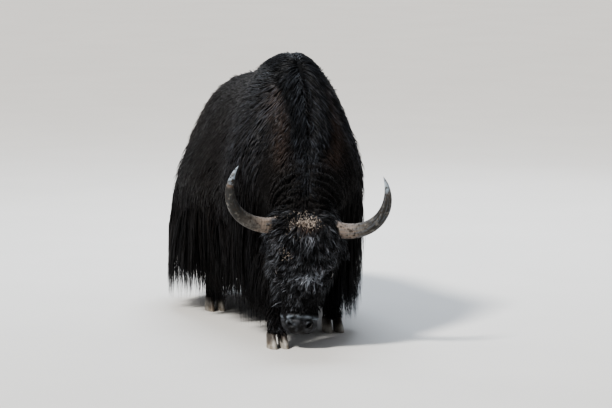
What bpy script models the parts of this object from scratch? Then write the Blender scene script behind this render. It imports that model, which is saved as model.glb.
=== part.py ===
"""A grazing yak bull at life size: head lowered, right forefoot set forward, facing -Y with +Z up.

The body is a row of closed sections, each standing between a point on the back line and a point on
the belly line. Every other piece is placed from the named sizes of the piece that it grows from.
"""

import math
import random

import bmesh
import bpy
from mathutils import Euler, Matrix, Vector
from mathutils.bvhtree import BVHTree

# Driving sizes, in metres. The yak faces -Y, and its right side is -X.
GAP = 0.0003
WITHERS_HEIGHT = 1.345
HOOF_HEIGHT = 0.062
HEAD_LENGTH = 0.565
COAT_HEM = 0.15

BODY_SIDES = 24
HEAD_SIDES = 20
LEG_SIDES = 12

# Where the poll is, and how the head is turned from a face that hangs straight down.
POLL = Vector((-0.100, -0.955, 0.625))
FACE_FORWARD = math.radians(11)
FACE_TURN = math.radians(-12)
FACE_ROLL = math.radians(4.5)

COLOURS = {
    "coat": (0.012, 0.012, 0.014, 0.75),
    "skin": (0.03, 0.03, 0.033, 0.55),
    "horn": (0.36, 0.33, 0.29, 0.45),
    "hoof": (0.42, 0.40, 0.36, 0.6),
    "eye": (0.01, 0.007, 0.005, 0.08),
}


class Section:
    """A closed section between a top and a bottom point of the side view, widest at the waist."""

    FIELDS = ("top_y", "top_z", "low_y", "low_z", "half", "shift", "upper", "lower", "waist")

    def __init__(self, *values):
        for name, value in zip(self.FIELDS, values):
            setattr(self, name, value)

    def values(self):
        return [getattr(self, name) for name in self.FIELDS]

    def ring(self, sides):
        top = Vector((self.shift, self.top_y, self.top_z))
        low = Vector((self.shift, self.low_y, self.low_z))
        height = (top - low).length
        up = (top - low) / height
        centre = low + up * height * self.waist
        points = []
        for i in range(sides):
            angle = 2 * math.pi * i / sides
            across, along = math.cos(angle), math.sin(angle)
            power = self.upper if along >= 0 else self.lower
            reach = height * (1 - self.waist) if along >= 0 else height * self.waist
            x = self.half * math.copysign(abs(across) ** (2 / power), across)
            z = reach * math.copysign(abs(along) ** (2 / power), along)
            points.append(centre + Vector((x, 0, 0)) + up * z)
        return points


def between(sections, steps):
    """The sections with steps - 1 more between each two, on a smooth curve through them."""
    rows = [s.values() for s in sections]
    rows = [rows[0]] + rows + [rows[-1]]
    made = []
    for k in range(1, len(rows) - 2):
        for step in range(steps):
            t = step / steps
            made.append(Section(*[curve(t, *four) for four in zip(*rows[k - 1 : k + 3])]))
    made.append(sections[-1])
    return made


def curve(t, before, start, end, after):
    """A Catmull-Rom value between start and end."""
    return 0.5 * (
        2 * start
        + (end - before) * t
        + (2 * before - 5 * start + 4 * end - after) * t * t
        + (3 * start - before - 3 * end + after) * t * t * t
    )


def material(name):
    found = bpy.data.materials.get(name)
    if found is None:
        red, green, blue, rough = COLOURS[name]
        found = bpy.data.materials.new(name)
        found.use_nodes = True
        shader = found.node_tree.nodes["Principled BSDF"]
        shader.inputs["Base Color"].default_value = (red, green, blue, 1)
        shader.inputs["Roughness"].default_value = rough
        shader.inputs["Metallic"].default_value = 0
    return found


def new_object(name, mesh, finish, place=None):
    obj = bpy.data.objects.new(name, mesh)
    mesh.materials.append(material(finish))
    mesh.shade_smooth()
    (place or YAK).objects.link(obj)
    return obj


def loft(name, rings, finish, place=None):
    """A closed skin over rings of the same number of points, with a flat cap at each end."""
    work = bmesh.new()
    rows = [[work.verts.new(p) for p in ring] for ring in rings]
    for first, second in zip(rows, rows[1:]):
        for i in range(len(first)):
            j = (i + 1) % len(first)
            work.faces.new((first[i], first[j], second[j], second[i]))
    work.faces.new(rows[0])
    work.faces.new(rows[-1])
    bmesh.ops.triangulate(work, faces=work.faces)
    bmesh.ops.recalc_face_normals(work, faces=work.faces)
    mesh = bpy.data.meshes.new(name)
    work.to_mesh(mesh)
    work.free()
    return new_object(name, mesh, finish, place)


def grown(obj, distance=GAP):
    """A cutter that is the object made larger by the gap that touching pieces keep."""
    mesh = obj.data.copy()
    normals = [v.normal.copy() for v in mesh.vertices]
    for vertex, normal in zip(mesh.vertices, normals):
        vertex.co += normal * distance
    return new_object("cutter_" + obj.name, mesh, "skin", CUTTERS)


def boolean(obj, others, operation):
    """Joins or cuts the object with a collection of closed meshes, and removes them."""
    group = bpy.data.collections.new("operands_" + obj.name)
    bpy.context.scene.collection.children.link(group)
    for other in others:
        for holder in list(other.users_collection):
            holder.objects.unlink(other)
        group.objects.link(other)
    modifier = obj.modifiers.new(operation.lower(), "BOOLEAN")
    modifier.operation = operation
    modifier.solver = "MANIFOLD"
    modifier.operand_type = "COLLECTION"
    modifier.collection = group
    apply_modifiers(obj)
    for other in others:
        bpy.data.objects.remove(other)
    bpy.data.collections.remove(group)
    return keep_largest(obj)


def apply_modifiers(obj):
    graph = bpy.context.evaluated_depsgraph_get()
    mesh = bpy.data.meshes.new_from_object(obj.evaluated_get(graph))
    obj.modifiers.clear()
    obj.data = mesh


def keep_largest(obj):
    """Leaves only the closed surface that holds the most."""
    work = bmesh.new()
    work.from_mesh(obj.data)
    waiting = set(work.verts)
    islands = []
    while waiting:
        edge = [waiting.pop()]
        island = set(edge)
        while edge:
            for link in edge.pop().link_edges:
                for vertex in link.verts:
                    if vertex in waiting:
                        waiting.discard(vertex)
                        island.add(vertex)
                        edge.append(vertex)
        islands.append(island)
    islands.sort(key=span, reverse=True)
    for island in islands[1:]:
        bmesh.ops.delete(work, geom=list(island), context="VERTS")
    work.to_mesh(obj.data)
    work.free()
    return obj


def span(vertices):
    """The volume of the box round some vertices, to compare islands by."""
    sides = [
        max(v.co[axis] for v in vertices) - min(v.co[axis] for v in vertices)
        for axis in range(3)
    ]
    return sides[0] * sides[1] * sides[2]


def surface_of(obj):
    """A search tree over the object's faces, to set other pieces on them."""
    work = bmesh.new()
    work.from_mesh(obj.data)
    work.transform(obj.matrix_world)
    tree = BVHTree.FromBMesh(work)
    work.free()
    return tree


def tube(name, points, radii, finish, sides=10, place=None):
    """A round tapered tube along points, as a mesh with welded caps."""
    data = bpy.data.curves.new(name, "CURVE")
    data.dimensions = "3D"
    data.bevel_depth = 1.0
    data.bevel_resolution = (sides - 4) // 2
    data.use_fill_caps = True
    line = data.splines.new("POLY")
    line.points.add(len(points) - 1)
    for point, place_at, radius in zip(line.points, points, radii):
        point.co = (*place_at, 1)
        point.radius = radius
    holder = bpy.data.objects.new(name + "_curve", data)
    bpy.context.scene.collection.objects.link(holder)
    bpy.context.view_layer.update()
    graph = bpy.context.evaluated_depsgraph_get()
    mesh = bpy.data.meshes.new_from_object(holder.evaluated_get(graph))
    work = bmesh.new()
    work.from_mesh(mesh)
    bmesh.ops.remove_doubles(work, verts=work.verts, dist=1e-5)
    bmesh.ops.triangulate(work, faces=work.faces)
    bmesh.ops.recalc_face_normals(work, faces=work.faces)
    work.to_mesh(mesh)
    work.free()
    bpy.data.objects.remove(holder)
    mesh.materials.clear()
    return new_object(name, mesh, finish, place)


def bezier_at(points, t):
    """The point at t on the Bezier curve of any number of control points."""
    row = [Vector(p) for p in points]
    while len(row) > 1:
        row = [a.lerp(b, t) for a, b in zip(row, row[1:])]
    return row[0]


def bezier(points, count):
    return [bezier_at(points, i / (count - 1)) for i in range(count)]


def body_sections():
    """From the buttocks to the plane where the neck begins. Lengths run along -Y."""
    top = WITHERS_HEIGHT
    return [
        Section(0.985, 0.860, 0.985, 0.640, 0.080, 0, 2.0, 2.0, 0.50),
        Section(0.960, 0.985, 0.965, 0.520, 0.180, 0, 1.9, 2.2, 0.42),
        Section(0.900, 1.062, 0.910, 0.460, 0.258, 0, 1.7, 2.4, 0.36),
        Section(0.800, 1.118, 0.805, 0.430, 0.310, 0, 1.6, 2.5, 0.31),
        Section(0.660, 1.153, 0.660, 0.415, 0.350, 0, 1.57, 2.6, 0.28),
        Section(0.480, 1.173, 0.480, 0.405, 0.382, 0, 1.55, 2.6, 0.26),
        Section(0.300, 1.193, 0.300, 0.400, 0.397, 0, 1.55, 2.6, 0.26),
        Section(0.120, 1.223, 0.120, 0.400, 0.394, 0, 1.55, 2.6, 0.26),
        Section(-0.050, 1.272, -0.050, 0.400, 0.374, 0, 1.56, 2.6, 0.27),
        Section(-0.190, 1.320, -0.190, 0.410, 0.346, 0, 1.6, 2.5, 0.29),
        Section(-0.310, top - 0.006, -0.310, 0.425, 0.324, 0, 1.62, 2.4, 0.31),
        Section(-0.420, top - 0.045, -0.425, 0.450, 0.304, 0, 1.6, 2.3, 0.34),
        Section(-0.520, top - 0.155, -0.545, 0.490, 0.276, 0, 1.6, 2.2, 0.37),
    ]


def neck_sections(first):
    """From the shoulder plane down to the poll, bent a little to the right."""
    return [
        first,
        Section(-0.610, 1.080, -0.625, 0.500, 0.250, -0.012, 1.6, 2.2, 0.44),
        Section(-0.705, 0.970, -0.680, 0.500, 0.215, -0.035, 1.7, 2.2, 0.46),
        Section(-0.800, 0.860, -0.725, 0.490, 0.182, -0.060, 1.8, 2.1, 0.48),
        Section(-0.890, 0.745, -0.760, 0.465, 0.153, -0.085, 1.9, 2.0, 0.50),
        Section(-0.955, 0.630, -0.800, 0.440, 0.130, -0.100, 2.0, 2.0, 0.50),
    ]


def pushed(section, distance):
    """The same section set forward of itself along the normal of its plane."""
    top = Vector((0, section.top_y, section.top_z))
    low = Vector((0, section.low_y, section.low_z))
    ahead = Vector((1, 0, 0)).cross((top - low).normalized())
    values = section.values()
    values[0] += ahead.y * distance
    values[1] += ahead.z * distance
    values[2] += ahead.y * distance
    values[3] += ahead.z * distance
    return Section(*values)


# The head in its own frame: the poll at the origin, the face looking along -Y, the muzzle at -Z.
# Each row is the way down from the poll, the forehead's and the jaw's depth, half the width, and
# how far the hair stands off the skin.
HEAD_ROWS = [
    (-0.020, 0.000, 0.060, 0.060, 0.012),
    (-0.004, -0.026, 0.100, 0.098, 0.024),
    (0.030, -0.048, 0.150, 0.126, 0.034),
    (0.085, -0.062, 0.195, 0.138, 0.036),
    (0.150, -0.070, 0.222, 0.138, 0.034),
    (0.215, -0.070, 0.238, 0.130, 0.024),
    (0.280, -0.062, 0.236, 0.112, 0.018),
    (0.340, -0.054, 0.205, 0.096, 0.015),
    (0.400, -0.048, 0.165, 0.086, 0.010),
    (0.455, -0.045, 0.138, 0.080, 0.004),
    (0.500, -0.046, 0.122, 0.082, 0.001),
    (0.535, -0.042, 0.110, 0.078, 0.000),
    (0.556, -0.028, 0.094, 0.065, 0.000),
    (HEAD_LENGTH, -0.006, 0.072, 0.044, 0.000),
]


# How far into the hair the solid core of the head reaches.
CORE_SHARE = 0.4


def head_matrix():
    turn = Euler((FACE_FORWARD, 0, 0)).to_matrix().to_4x4()
    roll = Matrix.Rotation(FACE_ROLL, 4, "Y")
    yaw = Matrix.Rotation(FACE_TURN, 4, "Z")
    return Matrix.Translation(POLL) @ yaw @ roll @ turn


def head_rings():
    rings = []
    for down, front, back, half, hair in HEAD_ROWS:
        deep = hair * CORE_SHARE
        section = Section(front - deep, 0, back + deep, 0, half + deep, 0, 2.5, 2.2, 0.56)
        rings.append([HEAD @ (p + Vector((0, 0, -down))) for p in section.ring(HEAD_SIDES)])
    return rings


# An eye in the head's frame, for the left side: its middle, the way it looks, and the way of the
# slit between its lids. The well is the hair parted round it.
EYE_RADIUS = 0.0205
EYE_AT = Vector((0.114, -0.020, -0.258))
EYE_LOOK = Vector((0.92, -0.38, -0.06))
EYE_SLIT = Vector((0, 0.30, 0.95))
LID = 0.006
SLIT_HALF = 0.0175
SLIT_OPEN = 0.0105
WELL = Vector((0.040, 0.030, 0.030))


def build_eyes(head):
    """Lids round each eyeball, open along the slit, and the eyeball itself in its socket."""
    for side, name in ((-1, "eye_right"), (1, "eye_left")):
        centre = mirrored(EYE_AT, side)
        look = mirrored(EYE_LOOK, side).normalized()
        slit = mirrored(EYE_SLIT, side)
        well = ellipsoid("well", centre + look * (EYE_RADIUS + WELL.z), slit, look, WELL)
        boolean(head, [well], "DIFFERENCE")
        lids = Vector.Fill(3, EYE_RADIUS + LID)
        boolean(head, [ellipsoid("lids", centre, slit, look, lids)], "UNION")
        socket = ellipsoid("socket", centre, slit, look, Vector.Fill(3, EYE_RADIUS + GAP))
        sizes = Vector((SLIT_HALF, SLIT_OPEN, LID * 2.5))
        opening = ellipsoid("opening", centre + look * EYE_RADIUS, slit, look, sizes)
        boolean(head, [socket, opening], "DIFFERENCE")
        ellipsoid(name, centre, slit, look, Vector.Fill(3, EYE_RADIUS), "eye", YAK)


def mirrored(point, side):
    return Vector((side * point.x, point.y, point.z))


def ellipsoid(name, centre, along, out, sizes, finish="skin", place=None):
    """An ellipsoid in the head's frame, its half sizes along one way, across it, and outward."""
    out = out.normalized()
    along = (along - out * along.dot(out)).normalized()
    turn = Matrix((along, out.cross(along), out)).transposed().to_4x4()
    work = bmesh.new()
    bmesh.ops.create_uvsphere(work, u_segments=10, v_segments=6, radius=1)
    bmesh.ops.triangulate(work, faces=work.faces)
    work.transform(HEAD @ Matrix.Translation(centre) @ turn @ Matrix.Diagonal((*sizes, 1)))
    mesh = bpy.data.meshes.new(name)
    work.to_mesh(mesh)
    work.free()
    return new_object(name, mesh, finish, place or CUTTERS)


# The nostrils and the mouth in the head's frame, for the left side. The mouth runs from its
# corner to the middle of the muzzle's end, and the lips are rims on either side of it.
NOSTRIL_AT = Vector((0.043, -0.040, -0.505))
NOSTRIL_LOOK = Vector((0.45, -0.85, -0.25))
NOSTRIL_SLIT = Vector((0.75, 0.25, 0.60))
NOSTRIL = Vector((0.017, 0.0095, 0.020))
MOUTH_ROUTE = [
    (0.078, 0.070, -0.415),
    (0.080, 0.060, -0.465),
    (0.074, 0.052, -0.515),
    (0.058, 0.046, -0.556),
    (0.030, 0.041, -0.580),
    (0.000, 0.039, -0.580),
]
MOUTH_GROOVE = 0.0042
LIP_RADIUS = 0.0085
LIP_APART = 0.0105


def build_muzzle(head):
    for side in (-1, 1):
        look = mirrored(NOSTRIL_LOOK, side)
        centre, slit = mirrored(NOSTRIL_AT, side), mirrored(NOSTRIL_SLIT, side)
        hole = ellipsoid("nostril", centre, slit, look, NOSTRIL)
        boolean(head, [hole], "DIFFERENCE")
    skin = surface_of(head)
    for offset in (-LIP_APART, LIP_APART):
        lip = mouth_tube(skin, offset, LIP_RADIUS, 0.45)
        boolean(head, [lip], "UNION")
    boolean(head, [mouth_tube(surface_of(head), 0, MOUTH_GROOVE, 0.1)], "DIFFERENCE")


def mouth_tube(skin, offset, radius, sunk):
    """A tube along the mouth on the head's surface, thinner at the corners."""
    half = [Vector(p) + Vector((0, offset, 0)) for p in MOUTH_ROUTE]
    route = half + [mirrored(p, -1) for p in half[-2::-1]]
    points = []
    radii = []
    for i, point in enumerate(route):
        found, normal, _, _ = skin.find_nearest(HEAD @ point)
        points.append(found - normal * radius * sunk)
        from_end = min(i, len(route) - 1 - i)
        radii.append(radius * min(1, 0.45 + 0.35 * from_end))
    return tube("lip", points, radii, "skin", 4, CUTTERS)


# A horn in the head's frame, for the left side: out from the skull, then forward and up to its tip.
# The right horn spreads wider than the left.
HORN_ROUTE = [
    (0.085, 0.030, -0.035),
    (0.160, 0.020, -0.078),
    (0.288, -0.020, -0.062),
    (0.374, -0.075, 0.030),
    (0.368, -0.060, 0.160),
    (0.318, -0.030, 0.235),
]
HORN_SPREAD = {"horn_right": 1.08, "horn_left": 1.0}
HORN_BASE_RADIUS = 0.037
HORN_POINTS = 13


def build_horn(name, side, cutter):
    wide = side * HORN_SPREAD[name]
    points = bezier([HEAD @ Vector((wide * x, y, z)) for x, y, z in HORN_ROUTE], HORN_POINTS)
    radii = []
    for i in range(HORN_POINTS):
        t = i / (HORN_POINTS - 1)
        radii.append(HORN_BASE_RADIUS * (1 - 0.5 * t) * (1 - t**5) + 0.003)
    horn = tube(name, points, radii, "horn")
    return boolean(horn, [copy_of(cutter)], "DIFFERENCE")


def copy_of(obj):
    twin = bpy.data.objects.new(obj.name + "_copy", obj.data.copy())
    CUTTERS.objects.link(twin)
    return twin


# An ear in the head's frame, for the left side: its root and tip, and its width on the way.
EAR_ROOT = Vector((0.115, 0.050, -0.080))
EAR_TIP = Vector((0.195, 0.080, -0.205))
EAR_WIDTHS = (0.020, 0.024, 0.034, 0.039, 0.036, 0.027, 0.010)
EAR_THICK = 0.007
EAR_CUP = 0.016
EAR_SIDES = 6


def build_ear(name, side, cutters):
    """A leaf with a hollow cup on its forward face."""
    root = Vector((side * EAR_ROOT.x, EAR_ROOT.y, EAR_ROOT.z))
    tip = Vector((side * EAR_TIP.x, EAR_TIP.y, EAR_TIP.z))
    along = (tip - root).normalized()
    behind = Vector((side * 0.55, 0.83, 0.0)).normalized()
    behind = (behind - along * behind.dot(along)).normalized()
    across = along.cross(behind)
    rings = []
    last = len(EAR_WIDTHS) - 1
    for k, half in enumerate(EAR_WIDTHS):
        t = k / last
        centre = root.lerp(tip, t)
        cup = EAR_CUP * math.sin(math.pi * min(1, max(0, (t - 0.12) / 0.88)) ** 0.8)
        outer = []
        inner = []
        for i in range(EAR_SIDES + 1):
            swing = math.pi * (i / EAR_SIDES - 0.5)
            edge = across * half * math.sin(swing)
            bow = math.cos(swing)
            outer.append(centre + edge + behind * bow * (EAR_THICK + cup))
            if 0 < i < EAR_SIDES:
                inner.append(centre + edge * 0.86 + behind * (bow * cup - EAR_THICK * 0.4))
        rings.append([HEAD @ p for p in outer + inner[::-1]])
    ear = loft(name, rings, "coat")
    return boolean(ear, [copy_of(cutter) for cutter in cutters], "DIFFERENCE")


# Each leg from the ground up: height, half the depth and half the width.
FORE_ROWS = [
    (HOOF_HEIGHT + GAP, 0.042, 0.042),
    (0.130, 0.046, 0.043),
    (0.200, 0.036, 0.035),
    (0.275, 0.050, 0.046),
    (0.340, 0.054, 0.050),
    (0.440, 0.072, 0.060),
    (0.620, 0.110, 0.080),
]
HIND_ROWS = [
    (HOOF_HEIGHT + GAP, 0.042, 0.042),
    (0.130, 0.046, 0.042),
    (0.210, 0.038, 0.034),
    (0.300, 0.048, 0.040),
    (0.370, 0.064, 0.048),
    (0.440, 0.082, 0.060),
    (0.640, 0.130, 0.088),
]

# Each leg's way up through the body: x, y and the height.
LEGS = {
    "leg_front_left": (
        FORE_ROWS,
        [(0.175, -0.390, 0), (0.175, -0.360, 0.10), (0.172, -0.350, 0.33), (0.165, -0.30, 0.62)],
    ),
    "leg_front_right": (
        FORE_ROWS,
        [(-0.203, -0.790, 0), (-0.202, -0.745, 0.10), (-0.192, -0.590, 0.33), (-0.170, -0.36, 0.62)],
    ),
    "leg_hind_left": (
        HIND_ROWS,
        [(0.165, 0.655, 0), (0.165, 0.685, 0.10), (0.165, 0.745, 0.38), (0.160, 0.62, 0.64)],
    ),
    "leg_hind_right": (
        HIND_ROWS,
        [(-0.205, 0.420, 0), (-0.205, 0.450, 0.10), (-0.200, 0.570, 0.38), (-0.170, 0.58, 0.64)],
    ),
}


def way_at(way, height):
    """The point of a leg's middle at a height, on a smooth curve through its way."""
    rows = [way[0]] + way + [way[-1]]
    for k in range(1, len(rows) - 2):
        low, high = rows[k][2], rows[k + 1][2]
        if height <= high or k == len(rows) - 3:
            t = (height - low) / (high - low)
            x, y = (curve(t, *[rows[k + n][axis] for n in (-1, 0, 1, 2)]) for axis in (0, 1))
            return Vector((x, y, height))


def oval(centre, half_x, half_y, sides, square=2.0):
    """A level ring of points, squarer than an ellipse where square is over 2."""
    points = []
    for i in range(sides):
        across, along = math.cos(2 * math.pi * i / sides), math.sin(2 * math.pi * i / sides)
        x = half_x * math.copysign(abs(across) ** (2 / square), across)
        y = half_y * math.copysign(abs(along) ** (2 / square), along)
        points.append(centre + Vector((x, y, 0)))
    return points


def build_leg(name, rows, way, cutters):
    rings = [oval(way_at(way, level), half, depth, LEG_SIDES) for level, depth, half in rows]
    leg = loft(name, rings, "coat")
    build_hooves(name.replace("leg_", "hoof_"), way)
    return boolean(leg, [copy_of(cutter) for cutter in cutters], "DIFFERENCE")


# A claw: its half width and length at the sole, the cleft between the two, and its rows from the
# sole up as height, the share of the length and of the width, and how far it slopes back.
CLAW_HALF = 0.024
CLAW_LENGTH = 0.115
CLEFT = 0.007
CLAW_SIDES = 12
CLAW_ROWS = [(0, 1.0, 1.0, 0), (0.028, 0.94, 0.96, 0.004), (HOOF_HEIGHT, 0.78, 0.84, 0.012)]


def build_hooves(name, way):
    """Two claws on flat soles, their tops under the leg's lowest ring."""
    sole = way_at(way, 0)
    crown = way_at(way, HOOF_HEIGHT)
    for side, word in ((-1, "_right_claw"), (1, "_left_claw")):
        middle = side * (CLAW_HALF + CLEFT / 2)
        rings = []
        for height, length, half, back in CLAW_ROWS:
            share = height / HOOF_HEIGHT
            centre = sole.lerp(crown, share)
            centre += Vector((middle * (1 - 0.08 * share), back, 0))
            rings.append(oval(centre, CLAW_HALF * half, CLAW_LENGTH / 2 * length, CLAW_SIDES, 2.2))
        loft(name + word, rings, "hoof")


# The tail's dock: its root on the croup, its bend and its end, with its thickness on the way.
TAIL_ROUTE = [
    (0.0, 0.900, 1.010),
    (0.0, 1.030, 1.040),
    (0.0, 1.085, 0.850),
    (0.010, 1.080, 0.640),
    (0.015, 1.075, 0.480),
]
TAIL_RADII = (0.046, 0.044, 0.041, 0.040, 0.044, 0.050, 0.053, 0.052, 0.046, 0.034, 0.016)


def build_tail(body_cutter):
    points = bezier(TAIL_ROUTE, len(TAIL_RADII))
    tail = tube("tail", points, TAIL_RADII, "coat")
    return boolean(tail, [copy_of(body_cutter)], "DIFFERENCE")


def build_body():
    """The torso, and the neck that begins a gap ahead of the torso's last section."""
    torso_rows = between(body_sections(), 2)
    torso = loft("torso", [s.ring(BODY_SIDES) for s in torso_rows], "coat")
    first = pushed(torso_rows[-1], GAP)
    neck_rows = between(neck_sections(first), 2)
    neck = loft("neck", [s.ring(BODY_SIDES) for s in neck_rows], "coat")
    return torso, neck


# A lock: where its rings stand along it, and its width and thickness there as shares of the most.
LOCK_ROWS = [(0.0, 0.45, 0.8), (0.36, 1.0, 1.0), (0.70, 0.66, 0.66)]
LONG_LOCK_ROWS = [(0.0, 0.34, 0.7), (0.22, 1.0, 1.0), (0.52, 0.86, 0.90), (0.80, 0.46, 0.55)]
SHARES_TRIED = (1.0, 0.82, 0.66, 0.50)
LOCK_ROOM = 0.0014


class Coat:
    """The locks of one node: each starts inside the node and keeps clear of all the others."""

    def __init__(self, node):
        self.node = node
        self.skin = surface_of(node)
        self.others = self.tree_of_others()
        self.locks = []
        self.draw = random.Random(node.name)

    def tree_of_others(self):
        points, faces = [], []
        for obj in YAK.objects:
            if obj is self.node:
                continue
            first = len(points)
            mesh = obj.data
            points += [v.co + v.normal * LOCK_ROOM for v in mesh.vertices]
            faces += [[first + i for i in polygon.vertices] for polygon in mesh.polygons]
        return BVHTree.FromPolygons(points, faces)

    def vary(self, value, share):
        return value * (1 + self.draw.uniform(-share, share))

    def hanging(self, root, normal, length, width, thick, stand, rows=LONG_LOCK_ROWS):
        """A lock that leaves the skin along it and hangs straight down, a little way out."""
        out = Vector((normal.x, normal.y, 0)).normalized()
        side = Vector((-out.y, out.x, 0))
        sway = side * self.draw.uniform(-0.10, 0.10) * length
        bow = side * self.draw.uniform(-0.06, 0.06) * length
        lean = out * self.draw.uniform(-0.012, 0.012)
        down = (normal * normal.z - Vector((0, 0, 1))).normalized()
        sunk = normal * min(0.022, thick * 1.1)

        def path(share):
            reach = Vector((0, 0, -length * share))
            return [
                root - sunk,
                root + normal * stand * 0.8 + down * 0.14 * length,
                root + out * stand + reach * 0.50 + bow,
                root + out * stand + reach * 0.78 - bow * 0.6 + sway * 0.6 + lean,
                root + out * stand * 0.8 + reach + sway * share,
            ]

        self.add(path, width, thick, out, rows)

    def lying(self, root, normal, flow, length, width, thick, lift, rows=LOCK_ROWS):
        """A lock that follows the skin along the flow and lifts off it towards its tip."""
        side = normal.cross(flow).normalized()
        bend = side * self.draw.uniform(-0.30, 0.30) * length
        sunk = normal * thick

        def path(share):
            points = [root - sunk]
            for t in (0.30, 0.62, 1.0):
                aim = root + flow * length * share * t + bend * t * t
                found, away, _, _ = self.skin.find_nearest(aim)
                points.append(found + away * (thick * 0.35 + lift * t))
            return points

        self.add(path, width, thick, normal, rows)

    def add(self, path, width, thick, facing, rows):
        for share in SHARES_TRIED:
            work = lock_shape(path(share), width, thick, facing, rows)
            tree = BVHTree.FromBMesh(work)
            if tree.overlap(self.others):
                work.free()
                continue
            mesh = bpy.data.meshes.new("lock")
            work.to_mesh(mesh)
            work.free()
            self.locks.append(new_object("lock", mesh, "coat", CUTTERS))
            return

    def fuse(self):
        return boolean(self.node, self.locks, "UNION")

    def on_skin(self, target, outward):
        """The point and normal where a ray from outside meets the node's skin."""
        hit, normal, _, _ = self.skin.ray_cast(target + outward * 1.5, -outward, 3.0)
        return hit, normal


def lock_shape(control, width, thick, facing, rows):
    """A closed lens-shaped strand along the curve of the control points, narrowing to a tip."""
    work = bmesh.new()
    rings = []
    for t, wide, deep in rows:
        centre = bezier_at(control, t)
        along = (bezier_at(control, t + 0.05) - bezier_at(control, t)).normalized()
        across = along.cross(facing).normalized() * width / 2 * wide
        out = across.cross(along).normalized() * thick / 2 * deep
        ring = (centre + across, centre + out, centre - across, centre - out)
        rings.append([work.verts.new(p) for p in ring])
    work.faces.new(rings[0])
    for first, second in zip(rings, rings[1:]):
        for i in range(4):
            j = (i + 1) % 4
            work.faces.new((first[i], first[j], second[j], second[i]))
    tip = work.verts.new(bezier_at(control, 1))
    for i in range(4):
        work.faces.new((rings[-1][i], rings[-1][(i + 1) % 4], tip))
    bmesh.ops.triangulate(work, faces=work.faces)
    bmesh.ops.recalc_face_normals(work, faces=work.faces)
    return work


# The skirt's tiers from the outside in: the roots' height, the space between locks, how far they
# stand off, and how far above the hem they end.
SKIRT_TIERS = [(0.705, 0.105, 0.036, 0.030), (0.590, 0.105, 0.010, 0.0), (0.510, 0.140, 0.0, 0.012)]
SKIRT_OVERLAP = 1.10
SKIRT_THICK = 0.015
SKIRT_STAGGER = 0.008
ROOT_SPREAD = 0.035
SKIRT_FRONT = -0.43
SKIRT_BACK = 0.66
# The row under the belly: how far from the middle, its hem, and the space between locks.
BELLY_ROW = (0.21, 0.20, 0.16)


def skirt(torso):
    """Tiers of long locks round the flanks and the hindquarters, and a row under the belly."""
    coat = Coat(torso)
    for tier, (height, space, stand, above) in enumerate(SKIRT_TIERS):
        for k, (middle, outward) in enumerate(stadium(space, tier * 0.5)):
            level = Vector((0, 0, height + coat.draw.uniform(-ROOT_SPREAD, ROOT_SPREAD)))
            root, normal = coat.on_skin(middle + level, outward)
            length = coat.vary(root.z - COAT_HEM - above, 0.09)
            width = coat.vary(space * SKIRT_OVERLAP, 0.10)
            proud = stand + SKIRT_STAGGER * (-1) ** k
            coat.hanging(root, normal, length, width, SKIRT_THICK, proud)
    across, hem, space = BELLY_ROW
    for side in (-1, 1):
        for i in range(round((SKIRT_BACK - SKIRT_FRONT) / space)):
            y = SKIRT_FRONT + 0.1 + i * space
            root, _ = coat.on_skin(Vector((side * across, y, 0.5)), Vector((0, 0, -1)))
            out = Vector((side, 0, -0.2)).normalized()
            coat.hanging(root, out, coat.vary(root.z - hem, 0.08), 0.11, 0.022, 0.0, LOCK_ROWS)
    crest(coat, CREST_ON_HUMP, CREST_HUMP_ROWS)
    return coat.fuse()


def stadium(space, phase):
    """Places along the flanks and round the back of the body, as a middle and a way outward."""
    straight = SKIRT_BACK - SKIRT_FRONT
    bend = math.pi * 0.34
    count = int((2 * straight + bend) / space)
    for i in range(count):
        s = (i + phase) * space
        if s < straight:
            yield Vector((0, SKIRT_FRONT + s, 0)), Vector((-1, 0, 0))
        elif s < straight + bend:
            angle = math.pi * (s - straight) / bend
            yield Vector((0, SKIRT_BACK, 0)), Vector((-math.cos(angle), math.sin(angle), 0))
        else:
            yield Vector((0, SKIRT_BACK - (s - straight - bend), 0)), Vector((1, 0, 0))


# The crest: the stretch of the back line that it covers, and its rows on either side of the line.
CREST_ON_HUMP = [(-0.10, 1.42), (-0.24, 1.45), (-0.36, 1.42), (-0.46, 1.36)]
CREST_ON_NECK = [(-0.57, 1.20), (-0.66, 1.10), (-0.74, 1.01), (-0.81, 0.92), (-0.87, 0.84)]
CREST_HUMP_ROWS = (0.018, 0.062)
CREST_NECK_ROWS = (0.016, 0.056)
CREST_LENGTH = 0.155


def crest(coat, line, rows):
    """Locks on both sides of the back line, pointing down the neck and outwards."""
    for k, (y, z) in enumerate(line):
        slope = crest_slope(line, k)
        up = slope.cross(Vector((1, 0, 0)))
        centre_x = POLL.x * max(0, min(1, (-0.52 - y) / 0.42))
        for row, offset in enumerate(rows):
            for side in (-1, 1):
                shift = slope * coat.draw.uniform(-0.015, 0.015) + slope * 0.04 * (row % 2)
                target = Vector((centre_x + side * offset, y, z)) + shift
                hit, normal = coat.on_skin(target, up)
                if hit is None:
                    continue
                flow = (slope + Vector((side * (0.25 + 0.5 * row), 0, 0))).normalized()
                flow = (flow - normal * flow.dot(normal)).normalized()
                length = coat.vary(CREST_LENGTH, 0.15)
                coat.lying(hit, normal, flow, length, coat.vary(0.060, 0.12), 0.016, 0.018)


def crest_slope(line, k):
    """The way down the back line towards the poll."""
    first, last = line[max(0, k - 1)], line[min(len(line) - 1, k + 1)]
    return Vector((0, last[0] - first[0], last[1] - first[1])).normalized()


# The fringe of the throat and the chest: the height of its roots along the neck's lower line.
THROAT = [(-0.60, 0.62), (-0.665, 0.60), (-0.725, 0.585), (-0.775, 0.56)]
THROAT_HEM = 0.27


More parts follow.
